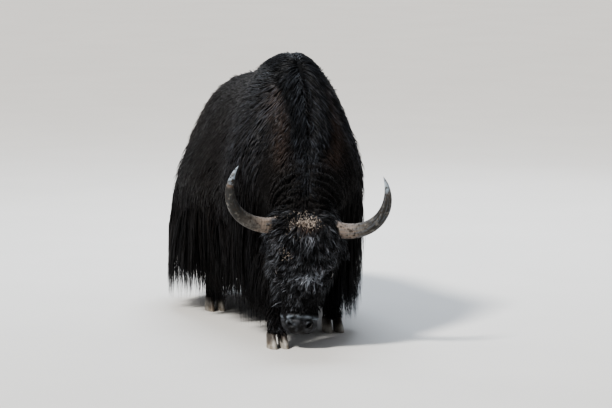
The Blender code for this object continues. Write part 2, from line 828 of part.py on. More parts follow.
def mane(neck):
    """The neck's half of the crest, and long hair that hangs from the throat and the chest."""
    coat = Coat(neck)
    crest(coat, CREST_ON_NECK, CREST_NECK_ROWS)
    for k, (y, z) in enumerate(THROAT):
        for side in (-1, 1):
            root, normal = coat.on_skin(Vector((0, y, z)), Vector((side, 0, 0)))
            length = coat.vary(root.z - THROAT_HEM, 0.1)
            coat.hanging(root, normal, length, 0.092, 0.024, 0.012)
        under, normal = coat.on_skin(Vector((POLL.x * k / 4, y, 0.7)), Vector((0, 0, -1)))
        ahead = Vector((0, -1, -0.2)).normalized()
        length = coat.vary(under.z - THROAT_HEM - 0.03, 0.1)
        coat.hanging(under, ahead, length, 0.11, 0.026, 0.0, LOCK_ROWS)
    return coat.fuse()


# The hair of the head in its own frame: each tier is its way down from the poll, the angles round
# the head at which its locks are rooted, from 0 at the middle of the face, and their length.
HEAD_TIERS = [
    (-0.012, (0, 36, -36), 0.110),
    (0.006, (14, -14, 44, -44), 0.125),
    (0.045, (0, 28, -28, 58, -58), 0.115),
    (0.095, (14, -14, 42, -42, 72, -72), 0.105),
    (0.145, (0, 28, -28, 100, -100, 132, -132), 0.100),
    (0.190, (14, -14, 40, -40, 118, -118), 0.090),
    (0.240, (0, 30, -30, 128, -128), 0.080),
    (0.295, (15, -15, 105, -105), 0.070),
    (0.345, (0,), 0.062),
]
HEAD_MIDDLE_BACK = 0.055


def forelock(head):
    """Curly locks from the poll over the forehead, the temples, the cheeks and the nose bridge."""
    coat = Coat(head)
    down_way = HEAD.to_3x3() @ Vector((0, 0, -1))
    for down, angles, length in HEAD_TIERS:
        middle = HEAD @ Vector((0, HEAD_MIDDLE_BACK, -down))
        for angle in angles:
            turned = math.radians(angle + coat.draw.uniform(-5, 5))
            outward = HEAD.to_3x3() @ Vector((math.sin(turned), -math.cos(turned), 0))
            hit, normal = coat.on_skin(middle, outward)
            fan = HEAD.to_3x3() @ Vector((math.sin(turned) * 0.55, 0, 0))
            flow = down_way + fan
            flow = (flow - normal * flow.dot(normal)).normalized()
            reach = coat.vary(length, 0.15)
            coat.lying(hit, normal, flow, reach, coat.vary(length * 0.36, 0.15), 0.014, length * 0.17)
    return coat.fuse()


# The tail's tiers: the height of the roots, the height where the tips end, and how many locks.
TAIL_LOCKS = [(0.88, 0.42, 4), (0.72, 0.30, 5), (0.57, 0.22, 5)]


def tail_hair(tail):
    """Long locks round the dock, from its upper half down to the tuft's end."""
    coat = Coat(tail)
    for height, end, count in TAIL_LOCKS:
        for i in range(count):
            angle = math.pi * (-0.10 + 1.20 * i / (count - 1))
            outward = Vector((math.cos(angle), math.sin(angle), 0))
            hit, normal = coat.on_skin(Vector((0.006, 1.062, height)), outward)
            if hit is None:
                continue
            length = coat.vary(height - end, 0.06)
            coat.hanging(hit, normal, length, 0.052, 0.016, 0.014)
    return coat.fuse()


# Feathering of the legs: the height of the roots and the angles round the leg, 0 at the back.
FORE_FEATHER = [(0.40, (35, -35, 95, -95), 0.18), (0.27, (0, 60, -60), 0.16)]
HIND_FEATHER = [(0.38, (35, -35, 95, -95), 0.16), (0.27, (0, 60, -60), 0.15)]


def feather(leg, way, tiers):
    """Hair that hangs from the back and the sides of a leg."""
    coat = Coat(leg)
    for height, angles, length in tiers:
        middle = way_at(way, height)
        for angle in angles:
            turned = math.radians(angle + coat.draw.uniform(-8, 8))
            hit, normal = coat.on_skin(middle, Vector((math.sin(turned), math.cos(turned), 0)))
            if hit is None:
                continue
            coat.hanging(hit, normal, coat.vary(length, 0.1), 0.050, 0.014, 0.012, LOCK_ROWS)
    return coat.fuse()


def clear_scene():
    for obj in list(bpy.data.objects):
        bpy.data.objects.remove(obj)


def collection(name):
    made = bpy.data.collections.new(name)
    bpy.context.scene.collection.children.link(made)
    return made


def centre_on_floor():
    """Sets the origin at the bottom centre of the whole yak's box."""
    bpy.context.view_layer.update()
    corners = [v.co for obj in YAK.objects for v in obj.data.vertices]
    low = [min(c[axis] for c in corners) for axis in range(3)]
    high = [max(c[axis] for c in corners) for axis in range(3)]
    shift = Vector((-(low[0] + high[0]) / 2, -(low[1] + high[1]) / 2, -low[2]))
    for obj in YAK.objects:
        obj.data.transform(Matrix.Translation(shift))
    return shift


clear_scene()
YAK = collection("yak")
CUTTERS = collection("cutters")
CUTTERS.hide_render = True
HEAD = head_matrix()

torso, neck = build_body()
head = loft("head", head_rings(), "coat")
head_cutter = grown(head)
horns = [build_horn("horn_right", -1, head_cutter), build_horn("horn_left", 1, head_cutter)]
boolean(neck, [copy_of(head_cutter)] + [grown(horn) for horn in horns], "DIFFERENCE")
body_cutter = grown(torso)
neck_cutter = grown(neck)
build_eyes(head)
build_muzzle(head)
for ear_side, ear_name in ((-1, "ear_right"), (1, "ear_left")):
    build_ear(ear_name, ear_side, [head_cutter, neck_cutter])
face_cutter = grown(head)
legs = {}
for leg_name, (leg_rows, leg_way) in LEGS.items():
    legs[leg_name] = build_leg(leg_name, leg_rows, leg_way, [body_cutter, neck_cutter, face_cutter])
tail = build_tail(body_cutter)
forelock(head)
mane(neck)
skirt(torso)
tail_hair(tail)
for leg_name, leg in legs.items():
    feather(leg, LEGS[leg_name][1], FORE_FEATHER if "front" in leg_name else HIND_FEATHER)
for cutter in list(CUTTERS.objects):
    cutter.hide_render = True
    cutter.display_type = "WIRE"
SHIFT = centre_on_floor()
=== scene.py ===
"""The looks of a grazing yak bull at life size, over the solids that hold its shape.

One skin follows the body's sections a coat's depth inside them. Locks and tufts of hair grow on it
as joined meshes. Horns, eyes and claws are finer pieces in the places of their solids.
"""

import math

import bmesh
import bpy
import numpy as np
from mathutils import Euler, Matrix, Vector
from mathutils.bvhtree import BVHTree


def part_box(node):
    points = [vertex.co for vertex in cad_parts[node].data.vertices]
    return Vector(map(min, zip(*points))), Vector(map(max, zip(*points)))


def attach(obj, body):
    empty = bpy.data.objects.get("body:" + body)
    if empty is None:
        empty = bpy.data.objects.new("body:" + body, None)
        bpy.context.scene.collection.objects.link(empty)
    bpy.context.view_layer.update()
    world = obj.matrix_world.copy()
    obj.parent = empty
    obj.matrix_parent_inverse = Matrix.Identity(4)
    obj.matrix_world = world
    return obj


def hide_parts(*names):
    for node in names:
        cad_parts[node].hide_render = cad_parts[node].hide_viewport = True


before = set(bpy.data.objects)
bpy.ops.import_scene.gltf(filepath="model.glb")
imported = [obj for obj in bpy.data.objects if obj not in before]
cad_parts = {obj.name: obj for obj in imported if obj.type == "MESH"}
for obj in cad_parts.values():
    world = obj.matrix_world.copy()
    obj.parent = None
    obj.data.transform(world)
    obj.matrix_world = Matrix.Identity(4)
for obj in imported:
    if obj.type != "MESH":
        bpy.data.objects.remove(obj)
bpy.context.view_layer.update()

# Driving sizes, in metres, as in the solids. The yak faces -Y, and its right side is -X.
WITHERS_HEIGHT = 1.345
HOOF_HEIGHT = 0.062
HEAD_LENGTH = 0.565

# The head's frame: the poll is its origin, the face looks along -Y, and the muzzle is at -Z.
POLL = Vector((-0.100, -0.955, 0.625))
FACE_FORWARD = math.radians(11)
FACE_TURN = math.radians(-12)
FACE_ROLL = math.radians(4.5)
HEAD = (
    Matrix.Translation(POLL)
    @ Matrix.Rotation(FACE_TURN, 4, "Z")
    @ Matrix.Rotation(FACE_ROLL, 4, "Y")
    @ Euler((FACE_FORWARD, 0, 0)).to_matrix().to_4x4()
)
TO_HEAD = HEAD.inverted()
EYE_RADIUS = 0.0205
EYE_AT = Vector((0.114, -0.020, -0.258))
EYE_LOOK = Vector((0.92, -0.38, -0.06))
EYE_SLIT = Vector((0, 0.30, 0.95))

# The solids were moved to stand on the middle of the floor. One eyeball tells how far.
EYE_LOW, EYE_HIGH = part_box("eye_left")
SHIFT = (EYE_LOW + EYE_HIGH) / 2 - HEAD @ EYE_AT

UP = np.array([0.0, 0.0, 1.0])
DOWN = -UP
ACROSS = np.array([1.0, 0.0, 0.0])
FULL_TURN = 2 * math.pi

# How deep the skin lies under the solids' surface.
BODY_INSET = 0.020
TAIL_INSET = 0.012
LEG_INSET = 0.006
SKIN_VOXEL = 0.013


def norm(vectors):
    return np.linalg.norm(vectors, axis=-1)


def unit(vectors):
    return vectors / np.maximum(norm(vectors), 1e-9)[..., None]


def dot(a, b):
    return np.sum(a * b, axis=-1)


def distance(points, place):
    return norm(points - np.array(place))


def split(points):
    return points[..., 0], points[..., 1], points[..., 2]


def stacked(x, y, z):
    return np.stack(np.broadcast_arrays(x, y, z), -1)


def ramp(low, high, value):
    """From 0 at low to 1 at high, smoothly, whichever of the two is larger."""
    t = np.clip((value - low) / (high - low), 0, 1)
    return t * t * (3 - 2 * t)


def gauss(away, width):
    return np.exp(-((away / width) ** 2))


def signed_power(value, power):
    return np.sign(value) * np.abs(value) ** power


def circle(sides):
    return FULL_TURN * np.arange(sides) / sides


def mirrored(point, side):
    return Vector((side * point[0], point[1], point[2]))


def moved(points, matrix):
    """Points in an array, taken through a 4 x 4 matrix."""
    table = np.array(matrix)
    return points @ table[:3, :3].T + table[:3, 3]


def turned(vectors, matrix):
    return vectors @ np.array(matrix)[:3, :3].T


def curve(t, before, start, end, after):
    """A Catmull-Rom value between start and end."""
    cubic = 2 * start + (end - before) * t + (2 * before - 5 * start + 4 * end - after) * t**2
    return 0.5 * (cubic + (3 * start - before - 3 * end + after) * t**3)


def smooth_rows(rows, steps):
    """The rows with steps - 1 more between each two, on a smooth curve through them."""
    rows = np.array(rows, float)
    padded = np.vstack([rows[:1], rows, rows[-1:]])
    t = (np.arange(steps) / steps)[:, None]
    made = [curve(t, *padded[k - 1 : k + 3]) for k in range(1, len(padded) - 2)]
    return np.vstack(made + [rows[-1:]])


def superoval(rows, sides):
    """Closed sections between a top and a bottom point of the side view, widest at the waist."""
    top_y, top_z, low_y, low_z, half, shift, upper, lower, waist = [v[:, None] for v in rows.T]
    top, low = stacked(shift, top_y, top_z), stacked(shift, low_y, low_z)
    height = norm(top - low)
    up = (top - low) / height[..., None]
    centre = low + up * (height * waist)[..., None]
    across, along = np.cos(circle(sides))[None, :], np.sin(circle(sides))[None, :]
    power = 2 / np.where(along >= 0, upper, lower)
    reach = height * np.where(along >= 0, 1 - waist, waist)
    x = half * signed_power(across, power)
    z = reach * signed_power(along, power)
    return centre + x[..., None] * ACROSS + z[..., None] * up


def swell(p, forms):
    """How far forms stand out or sink in at points: each a place on the left, its sizes and height."""
    push = np.zeros(p.shape[:2])
    for centre, sizes, height in forms:
        for side in (-1, 1) if centre[0] else (1,):
            offset = (p - np.array(centre) * (side, 1, 1)) / np.array(sizes)
            push += height * np.exp(-np.sum(offset**2, -1))
    return push


def closed_mesh(name, corners, faces):
    """A mesh whose faces all look outwards."""
    mesh = bpy.data.meshes.new(name)
    mesh.from_pydata([tuple(corner) for corner in corners], [], faces)
    work = bmesh.new()
    work.from_mesh(mesh)
    bmesh.ops.recalc_face_normals(work, faces=work.faces)
    work.to_mesh(mesh)
    work.free()
    return mesh


def grid_faces(cells, rows, sides):
    """Triangles between rows of points closed round their sides. The last row may meet the first."""
    faces = []
    for i in range(cells):
        low, high = i * sides, (i + 1) % rows * sides
        for j in range(sides):
            k = (j + 1) % sides
            faces += [(low + j, low + k, high + k), (low + j, high + k, high + j)]
    return faces


class Tube:
    """A grid of points, rows by sides, closed round the sides, that skin and hair are built on."""

    def __init__(self, points):
        self.points = np.array(points, float)
        self.measure()

    def measure(self):
        p = self.points
        along = np.gradient(p, axis=0)
        around = (np.roll(p, -1, 1) - np.roll(p, 1, 1)) / 2
        cross = np.cross(along, around)
        self.normal = unit(cross)
        if np.mean(dot(self.normal, p - p.mean(1, keepdims=True))) < 0:
            self.normal = -self.normal
        self.area = norm(cross)

    def push(self, outwards):
        self.points = self.points + self.normal * outwards[..., None]
        self.measure()

    def at(self, field, u, v):
        """A field of the grid at shares u along the rows and v round the sides."""
        rows, sides = field.shape[:2]
        i = np.clip(u, 0, 1) * (rows - 1)
        j = (v % 1) * sides
        i0 = np.minimum(i.astype(int), rows - 2)
        j0 = j.astype(int) % sides
        a, b = i - i0, j - np.floor(j)
        if field.ndim == 3:
            a, b = a[:, None], b[:, None]
        j1 = (j0 + 1) % sides
        first = field[i0, j0] * (1 - b) + field[i0, j1] * b
        second = field[i0 + 1, j0] * (1 - b) + field[i0 + 1, j1] * b
        return first * (1 - a) + second * a

    def mesh(self, name):
        """A closed mesh over the grid, with a fan at each end."""
        rows, sides = self.points.shape[:2]
        corners = np.vstack([self.points.reshape(-1, 3), self.points[0].mean(0), self.points[-1].mean(0)])
        faces = grid_faces(rows - 1, rows, sides)
        last = (rows - 1) * sides
        for j in range(sides):
            k = (j + 1) % sides
            faces += [(rows * sides, k, j), (rows * sides + 1, last + j, last + k)]
        return closed_mesh(name, corners, faces)


def linked(name, data):
    obj = bpy.data.objects.new(name, data)
    bpy.context.scene.collection.objects.link(obj)
    return obj


def new_object(name, mesh, material=None):
    obj = linked(name, mesh)
    if material:
        mesh.materials.append(material)
    mesh.shade_smooth()
    return obj


def modify(obj, kind, **settings):
    modifier = obj.modifiers.new(kind.lower(), kind)
    for name, value in settings.items():
        setattr(modifier, name, value)


def applied(obj):
    """Applies the object's modifiers to its mesh."""
    graph = bpy.context.evaluated_depsgraph_get()
    mesh = bpy.data.meshes.new_from_object(obj.evaluated_get(graph))
    obj.modifiers.clear()
    obj.data = mesh


def boolean(obj, others, operation):
    """Joins or cuts the object with other closed meshes, and removes them."""
    group = bpy.data.collections.new("operands")
    bpy.context.scene.collection.children.link(group)
    for other in others:
        bpy.context.scene.collection.objects.unlink(other)
        group.objects.link(other)
    settings = {"operation": operation, "solver": "MANIFOLD", "operand_type": "COLLECTION"}
    modify(obj, "BOOLEAN", **settings, collection=group)
    applied(obj)
    for other in others:
        bpy.data.objects.remove(other)
    bpy.data.collections.remove(group)


# The body's sections from the buttocks to the poll, at the solids' surface: y and z of the top and of
# the bottom, half the width, the shift aside, the roundness above and below, and the waist's height.
BODY_ROWS = [
    (0.985, 0.860, 0.985, 0.640, 0.080, 0, 2.0, 2.0, 0.50),
    (0.960, 0.985, 0.965, 0.520, 0.180, 0, 1.9, 2.2, 0.42),
    (0.900, 1.062, 0.910, 0.460, 0.258, 0, 1.7, 2.4, 0.36),
    (0.800, 1.118, 0.805, 0.430, 0.310, 0, 1.6, 2.5, 0.31),
    (0.660, 1.153, 0.660, 0.415, 0.350, 0, 1.57, 2.6, 0.28),
    (0.480, 1.173, 0.480, 0.405, 0.382, 0, 1.55, 2.6, 0.26),
    (0.300, 1.193, 0.300, 0.400, 0.397, 0, 1.55, 2.6, 0.26),
    (0.120, 1.223, 0.120, 0.400, 0.394, 0, 1.55, 2.6, 0.26),
    (-0.050, 1.272, -0.050, 0.400, 0.374, 0, 1.56, 2.6, 0.27),
    (-0.190, 1.320, -0.190, 0.410, 0.346, 0, 1.6, 2.5, 0.29),
    (-0.310, WITHERS_HEIGHT - 0.006, -0.310, 0.425, 0.324, 0, 1.62, 2.4, 0.31),
    (-0.420, WITHERS_HEIGHT - 0.045, -0.425, 0.450, 0.304, 0, 1.6, 2.3, 0.34),
    (-0.520, WITHERS_HEIGHT - 0.155, -0.545, 0.490, 0.276, 0, 1.6, 2.2, 0.37),
    (-0.610, 1.080, -0.625, 0.500, 0.250, -0.012, 1.6, 2.2, 0.44),
    (-0.705, 0.970, -0.680, 0.500, 0.215, -0.035, 1.7, 2.2, 0.46),
    (-0.800, 0.860, -0.725, 0.490, 0.182, -0.060, 1.8, 2.1, 0.48),
    (-0.890, 0.745, -0.760, 0.465, 0.153, -0.085, 1.9, 2.0, 0.50),
    (-0.955, 0.630, -0.800, 0.440, 0.130, -0.100, 2.0, 2.0, 0.50),
]
# The furrow between the shoulder and the neck, with the width of its places and their depth.
FURROW_WIDTH = (0.050, 0.06, 0.08)
FURROW = [
    ((0.170, -0.47, 1.12), (0.050, 0.06, 0.07), -0.020),
    ((0.215, -0.53, 1.02), FURROW_WIDTH, -0.022),
    ((0.250, -0.60, 0.90), FURROW_WIDTH, -0.022),
    ((0.275, -0.66, 0.79), FURROW_WIDTH, -0.020),
]
# Forms under the coat, on the left side: where they are, how wide along, across and up, and how
# far they stand out or sink in.
BODY_FORMS = [
    ((0.32, -0.36, 0.86), (0.16, 0.16, 0.22), 0.018),
    ((0.36, -0.16, 0.80), (0.16, 0.08, 0.24), -0.016),
    ((0.16, 0.20, 1.16), (0.16, 0.50, 0.14), 0.026),
    ((0.34, 0.58, 0.48), (0.18, 0.24, 0.13), 0.024),
    ((0.33, 0.32, 0.60), (0.16, 0.22, 0.045), -0.014),
    ((0.33, -0.02, 0.545), (0.16, 0.22, 0.045), -0.014),
    ((0.32, -0.24, 0.43), (0.18, 0.18, 0.11), 0.018),
    ((0.33, 0.14, 0.38), (0.16, 0.13, 0.16), -0.018),
    ((0.12, -0.08, 1.26), (0.14, 0.20, 0.10), 0.014),
    *FURROW,
    ((0.22, 0.62, 1.06), (0.10, 0.10, 0.08), 0.010),
    ((0.34, 0.46, 0.86), (0.16, 0.11, 0.12), -0.012),
    ((0.33, 0.72, 0.86), (0.16, 0.28, 0.20), -0.030),
]
# The folds of the neck: planes about a line across the throat, given by its y and z. They lean
# back at the sides, and fade out at both ends of the neck and up the crest.
FOLD_PIVOT = (-0.668, 0.279)
FOLD_STEP = 0.066
FOLD_LEAN = 0.45
FOLD_HEIGHT = 0.012
FOLDS_LOW = math.radians(50)
FOLDS_HIGH = math.radians(84)


def aside(p):
    """How far points lie to the left of the body's middle. The neck bends to the right."""
    return p[..., 0] - POLL.x * ramp(-0.52, -0.95, p[..., 1])


def folds(p):
    """The neck's folds at points: from -1 in a hollow to 1 on a ridge, and how strong they are."""
    x, y, z = split(p)
    off = np.abs(aside(p))
    angle = np.arctan2(z - FOLD_PIVOT[1], FOLD_PIVOT[0] - y)
    uneven = 0.7 * np.sin(19 * x + 1.0) + 0.5 * np.sin(41 * x + 34 * z)
    phase = (angle - FOLD_LEAN * off) / FOLD_STEP * FULL_TURN + uneven
    ends = ramp(FOLDS_LOW, FOLDS_LOW + 0.08, angle) * ramp(FOLDS_HIGH, FOLDS_HIGH - 0.15, angle)
    crest = ramp(0.025, 0.055, off - 0.03 * ramp(1.30, 1.05, angle) + 0.03)
    broken = 0.5 + 0.5 * np.sin(33 * x + 17 * z + 2) * np.sin(52 * angle + 9 * x)
    strength = ends * crest * ramp(0.62, 0.68, z) * ramp(-0.60, -0.68, y)
    return np.sin(phase), strength * (0.45 + 0.55 * broken)


def body_tube(steps, sides):
    """The body's skin, a coat's depth inside the solids."""
    rows = smooth_rows(BODY_ROWS, steps)
    slope = rows[:, 0:2] - rows[:, 2:4]
    slope = slope / norm(slope)[:, None] * BODY_INSET
    rows[:, 0:2] -= slope
    rows[:, 2:4] += slope
    rows[:, 4] -= BODY_INSET
    tube = Tube(superoval(rows, sides))
    tube.push(swell(tube.points, BODY_FORMS))
    x, y, z = split(tube.points)
    waves = np.sin(9 * x + 5 * y + 2) * np.sin(7 * z + 4 * y) + 0.6 * np.sin(17 * y + 11 * z + 6 * x)
    tube.push(0.0032 * waves)
    return tube


# Each row of the head is the way down from the poll, the forehead's and the jaw's depth and half the
# width.
HEAD_ROWS = [
    (-0.020, 0.000, 0.060, 0.060),
    (-0.004, -0.026, 0.100, 0.098),
    (0.030, -0.048, 0.150, 0.126),
    (0.085, -0.062, 0.195, 0.138),
    (0.150, -0.070, 0.222, 0.138),
    (0.215, -0.070, 0.238, 0.130),
    (0.280, -0.062, 0.236, 0.112),
    (0.340, -0.054, 0.205, 0.096),
    (0.400, -0.048, 0.165, 0.086),
    (0.455, -0.045, 0.138, 0.080),
    (0.500, -0.046, 0.122, 0.082),
    (0.535, -0.042, 0.110, 0.078),
    (0.556, -0.028, 0.094, 0.065),
    (HEAD_LENGTH, -0.006, 0.072, 0.044),
]
HEAD_ROUNDNESS = (2.5, 2.2)
HEAD_WAIST = 0.56
# Forms of the face, for the left side: brow, temple, cheekbone, hollow before the eye, bridge of
# the nose, hollow beside it, nostril's wing, muzzle, muzzle pad, chin.
HEAD_FORMS = [
    ((0.102, -0.050, -0.222), (0.030, 0.035, 0.026), 0.012),
    ((0.120, 0.020, -0.165), (0.040, 0.045, 0.045), -0.010),
    ((0.108, 0.045, -0.300), (0.030, 0.050, 0.026), 0.008),
    ((0.085, -0.040, -0.318), (0.030, 0.030, 0.034), -0.007),
    ((0.000, -0.060, -0.400), (0.030, 0.030, 0.110), 0.007),
    ((0.070, -0.030, -0.420), (0.028, 0.030, 0.050), -0.007),
    ((0.050, -0.042, -0.508), (0.020, 0.026, 0.022), 0.010),
    ((0.000, -0.045, -0.520), (0.030, 0.030, 0.034), 0.004),
    ((0.080, 0.020, -0.500), (0.026, 0.034, 0.034), 0.006),
    ((0.000, 0.100, -0.535), (0.040, 0.030, 0.026), 0.006),
]
NOSTRIL_AT = Vector((0.043, -0.040, -0.505))
NOSTRIL_LOOK = Vector((0.45, -0.85, -0.25))
NOSTRIL_SLIT = Vector((0.75, 0.25, 0.60))
NOSTRIL_HALF = (0.0165, 0.0085)
NOSTRIL_DEPTH = 0.022
NOSTRIL_RIM = 0.0035
# The fold above the muzzle: how far down it is, how much it bends down at the sides, and its height.
MUZZLE_FOLD = 0.462
MUZZLE_BEND = 3.6
MUZZLE_RIM = 0.0075
MUZZLE_GROOVE = 0.0055
MOUTH_ROUTE = [
    (0.078, 0.070, -0.415),
    (0.080, 0.060, -0.465),
    (0.074, 0.052, -0.515),
    (0.058, 0.046, -0.556),
    (0.030, 0.041, -0.580),
    (0.000, 0.039, -0.580),
]
MOUTH_DEPTH = 0.0065
LIP_HEIGHT = 0.0040
JAW_NARROWING = 0.22


def muzzle_level(q):
    """The height of points in the head's frame, along lines that bend as the muzzle's fold does."""
    return q[..., 2] + MUZZLE_BEND * q[..., 0] ** 2


def head_tube(steps, sides):
    """The head's skin in its own frame."""
    down, front, back, half = smooth_rows(HEAD_ROWS, steps).T
    zero = np.zeros(len(down))
    shape = [zero + value for value in (*HEAD_ROUNDNESS, HEAD_WAIST)]
    points = superoval(np.stack([front, zero, back, zero, half, zero, *shape], 1), sides)
    points[..., 2] -= down[:, None]
    behind = ramp(0.05, 0.20, points[..., 1]) * ramp(0.10, 0.22, down)[:, None]
    points[..., 0] *= 1 - JAW_NARROWING * behind
    tube = Tube(points)
    below = muzzle_level(points) + MUZZLE_FOLD
    ridge = MUZZLE_RIM * gauss(below, 0.008) - MUZZLE_GROOVE * gauss(below + 0.017, 0.007)
    tube.push(swell(points, HEAD_FORMS) + ridge * ramp(0.06, -0.01, points[..., 1]))
    tube.push(nostrils(tube.points) + mouth(tube.points))
    return tube


def nostril_reach(p, side):
    """How far out points lie from a nostril's middle, in its own half widths, and if near its face."""
    look = mirrored(NOSTRIL_LOOK, side).normalized()
    slit = mirrored(NOSTRIL_SLIT, side)
    slit = (slit - look * slit.dot(look)).normalized()
    offset = p - np.array(mirrored(NOSTRIL_AT, side))
    along = dot(offset, np.array(slit)) / NOSTRIL_HALF[0]
    across = dot(offset, np.array(look.cross(slit))) / NOSTRIL_HALF[1]
    near = np.sqrt(along**2 + (across + 0.35 * along**2 - 0.2) ** 2)
    return near, (dot(offset, np.array(look)) > -0.03).astype(float)


def nostrils(p):
    """Comma-shaped hollows with a raised rim."""
    push = np.zeros(p.shape[:2])
    for side in (-1, 1):
        near, close = nostril_reach(p, side)
        push += close * (NOSTRIL_RIM * gauss(near - 1.45, 0.40) - NOSTRIL_DEPTH * ramp(1.15, 0.45, near))
    return push


def mouth(p):
    """The groove between the lips, with a rim on either side."""
    half = [mirrored(point, 1) for point in MOUTH_ROUTE]
    route = smooth_rows(half + [mirrored(point, -1) for point in half[-2::-1]], 6)
    nearest = np.full(p.shape[:2], 1.0)
    beyond = np.zeros(p.shape[:2])
    for k, point in enumerate(route):
        away = distance(p, point)
        closer = away < nearest
        nearest = np.where(closer, away, nearest)
        beyond = np.where(closer, min(k, len(route) - 1 - k), beyond)
    lips = LIP_HEIGHT * gauss(nearest - 0.0105, 0.0055) - MOUTH_DEPTH * gauss(nearest, 0.0035)
    return lips * ramp(-1, 6, beyond)


# Each leg from the ground up: height, half the depth and half the width.
FORE_ROWS = [
    (HOOF_HEIGHT, 0.042, 0.042),
    (0.130, 0.046, 0.043),
    (0.200, 0.036, 0.035),
    (0.275, 0.050, 0.046),
    (0.340, 0.054, 0.050),
    (0.440, 0.072, 0.060),
    (0.620, 0.110, 0.080),
]
HIND_ROWS = [
    (HOOF_HEIGHT, 0.042, 0.042),
    (0.130, 0.046, 0.042),
    (0.210, 0.038, 0.034),
    (0.300, 0.048, 0.040),
    (0.370, 0.064, 0.048),
    (0.440, 0.082, 0.060),
    (0.640, 0.130, 0.088),
]
# Each leg's way up through the body: x, y and the height.
LEG_WAYS = {
    "front_left": [
        (0.175, -0.390, 0),
        (0.175, -0.360, 0.10),
        (0.172, -0.350, 0.33),
        (0.165, -0.30, 0.62),
    ],
    "front_right": [
        (-0.203, -0.790, 0),
        (-0.202, -0.745, 0.10),
        (-0.192, -0.590, 0.33),
        (-0.170, -0.36, 0.62),
    ],
    "hind_left": [
        (0.165, 0.655, 0),
        (0.165, 0.685, 0.10),
        (0.165, 0.745, 0.38),
        (0.160, 0.62, 0.64),
    ],
    "hind_right": [
        (-0.205, 0.420, 0),
        (-0.205, 0.450, 0.10),
        (-0.200, 0.570, 0.38),
        (-0.170, 0.58, 0.64),
    ],
}
TAIL_ROUTE = [(0, 0.90, 1.01), (0, 1.03, 1.04), (0, 1.085, 0.85), (0.010, 1.08, 0.64), (0.015, 1.075, 0.48)]
TAIL_RADII = (0.046, 0.044, 0.041, 0.040, 0.040, 0.038, 0.036, 0.034, 0.030, 0.024, 0.014)


def way_at(way, height):
    """The point of a leg's middle at a height, on a smooth curve through its way."""
    rows = [way[0]] + way + [way[-1]]
    for k in range(1, len(rows) - 2):
        low, high = rows[k][2], rows[k + 1][2]
        if height <= high or k == len(rows) - 3:
            t = (height - low) / (high - low)
            x, y = (curve(t, *[rows[k + n][axis] for n in (-1, 0, 1, 2)]) for axis in (0, 1))
            return Vector((x, y, height))


def leg_tube(name, way, steps, sides):
    rows = FORE_ROWS if name.startswith("front") else HIND_ROWS
    table = [(*way_at(way, level), half - LEG_INSET, depth - LEG_INSET) for level, depth, half in rows]
    x, y, z, half, depth = [v[:, None] for v in smooth_rows(table, steps).T]
    angle = circle(sides)[None, :]
    return Tube(stacked(x + half * np.cos(angle), y + depth * np.sin(angle), z))


def bezier(points, count):
    """Points along the Bezier curve of any number of control points."""
    rows = np.repeat(np.array(points, float)[:, None, :], count, axis=1)
    t = np.linspace(0, 1, count)[:, None]
    while len(rows) > 1:
        rows = rows[:-1] * (1 - t) + rows[1:] * t
    return rows[0]


def round_tube(route, radii, sides):
    """A round tube along a route, turned as little as it can be from ring to ring."""
    ways = unit(np.gradient(route, axis=0))
    side = unit(np.cross(ways[0], np.array([0.3, 0.2, 1.0])))
    rings = []
    angle = circle(sides)[:, None]
    for point, way, radius in zip(route, ways, radii):
        side = unit(side - way * dot(side, way))
        rings.append(point + radius * (np.cos(angle) * side + np.sin(angle) * np.cross(way, side)))
    return Tube(rings)


def tail_tube(steps, sides):
    radii = smooth_rows(np.array(TAIL_RADII)[:, None] - TAIL_INSET, steps)[:, 0]
    return round_tube(bezier(TAIL_ROUTE, len(radii)), radii, sides)


# An ear in the head's frame, for the left side: its root and tip, and its width on the way.
EAR_ROOT = Vector((0.115, 0.050, -0.080))
EAR_TIP = Vector((0.195, 0.080, -0.205))
EAR_BEHIND = (0.55, 0.83, 0.0)
EAR_WIDTHS = (0.020, 0.024, 0.034, 0.039, 0.036, 0.027, 0.010)
EAR_THICK = 0.005
EAR_CUP = 0.016
EAR_SUNK = (0.85, 1, 1)


def ear_tube(side, steps, sides):
    """A leaf with a hollow cup on its forward face, where the head stands."""
    root = np.array(mirrored(EAR_ROOT, side)) * EAR_SUNK
    tip = np.array(mirrored(EAR_TIP, side))
    along = unit(tip - root)
    behind = unit(np.array(EAR_BEHIND) * (side, 1, 1))
    behind = unit(behind - along * dot(behind, along))
    across = np.cross(along, behind)
    widths = smooth_rows(np.array(EAR_WIDTHS)[:, None], steps)[:, 0]
    rings = []
    swings = np.linspace(-math.pi / 2, math.pi / 2, sides // 2 + 1)[:, None]
    for k, half in enumerate(widths):
        t = k / (len(widths) - 1)
        centre = root * (1 - t) + tip * t
        cup = EAR_CUP * math.sin(math.pi * min(1, max(0, (t - 0.08) / 0.92)) ** 0.8)
        edge = across * half * np.sin(swings)
        outer = centre + edge + behind * np.cos(swings) * (EAR_THICK + cup)
        inner = centre + edge * 0.90 + behind * (np.cos(swings) * cup - EAR_THICK * 0.4)
        rings.append(np.vstack([outer, inner[-2:0:-1]]))
    return Tube(moved(np.array(rings), HEAD))


# Each ring of an eye's lids: the slit's half length and opening, and how far it lies from the eye's
# middle. The rings that lie as far as LID_FOOT or further are flat, and are the lids' foot in the skin.
LID_RINGS = [
    (0.0185, 0.0122, 0.0207),
    (0.0190, 0.0128, 0.0232),
    (0.0205, 0.0146, 0.0250),
    (0.0225, 0.0174, 0.0262),
    (0.0250, 0.0210, 0.0260),
    (0.0262, 0.0240, 0.0266),
    (0.0300, 0.0290, 0.0300),
    (0.0330, 0.0330, 0.0400),
    (0.0240, 0.0240, 0.0410),
    (0.0205, 0.0200, 0.0212),
    (0.0195, 0.0150, 0.0207),
]
LID_SIDES = 48
LID_FOOT = 0.030
LID_FOOT_HEIGHTS = (0.002, -0.014)


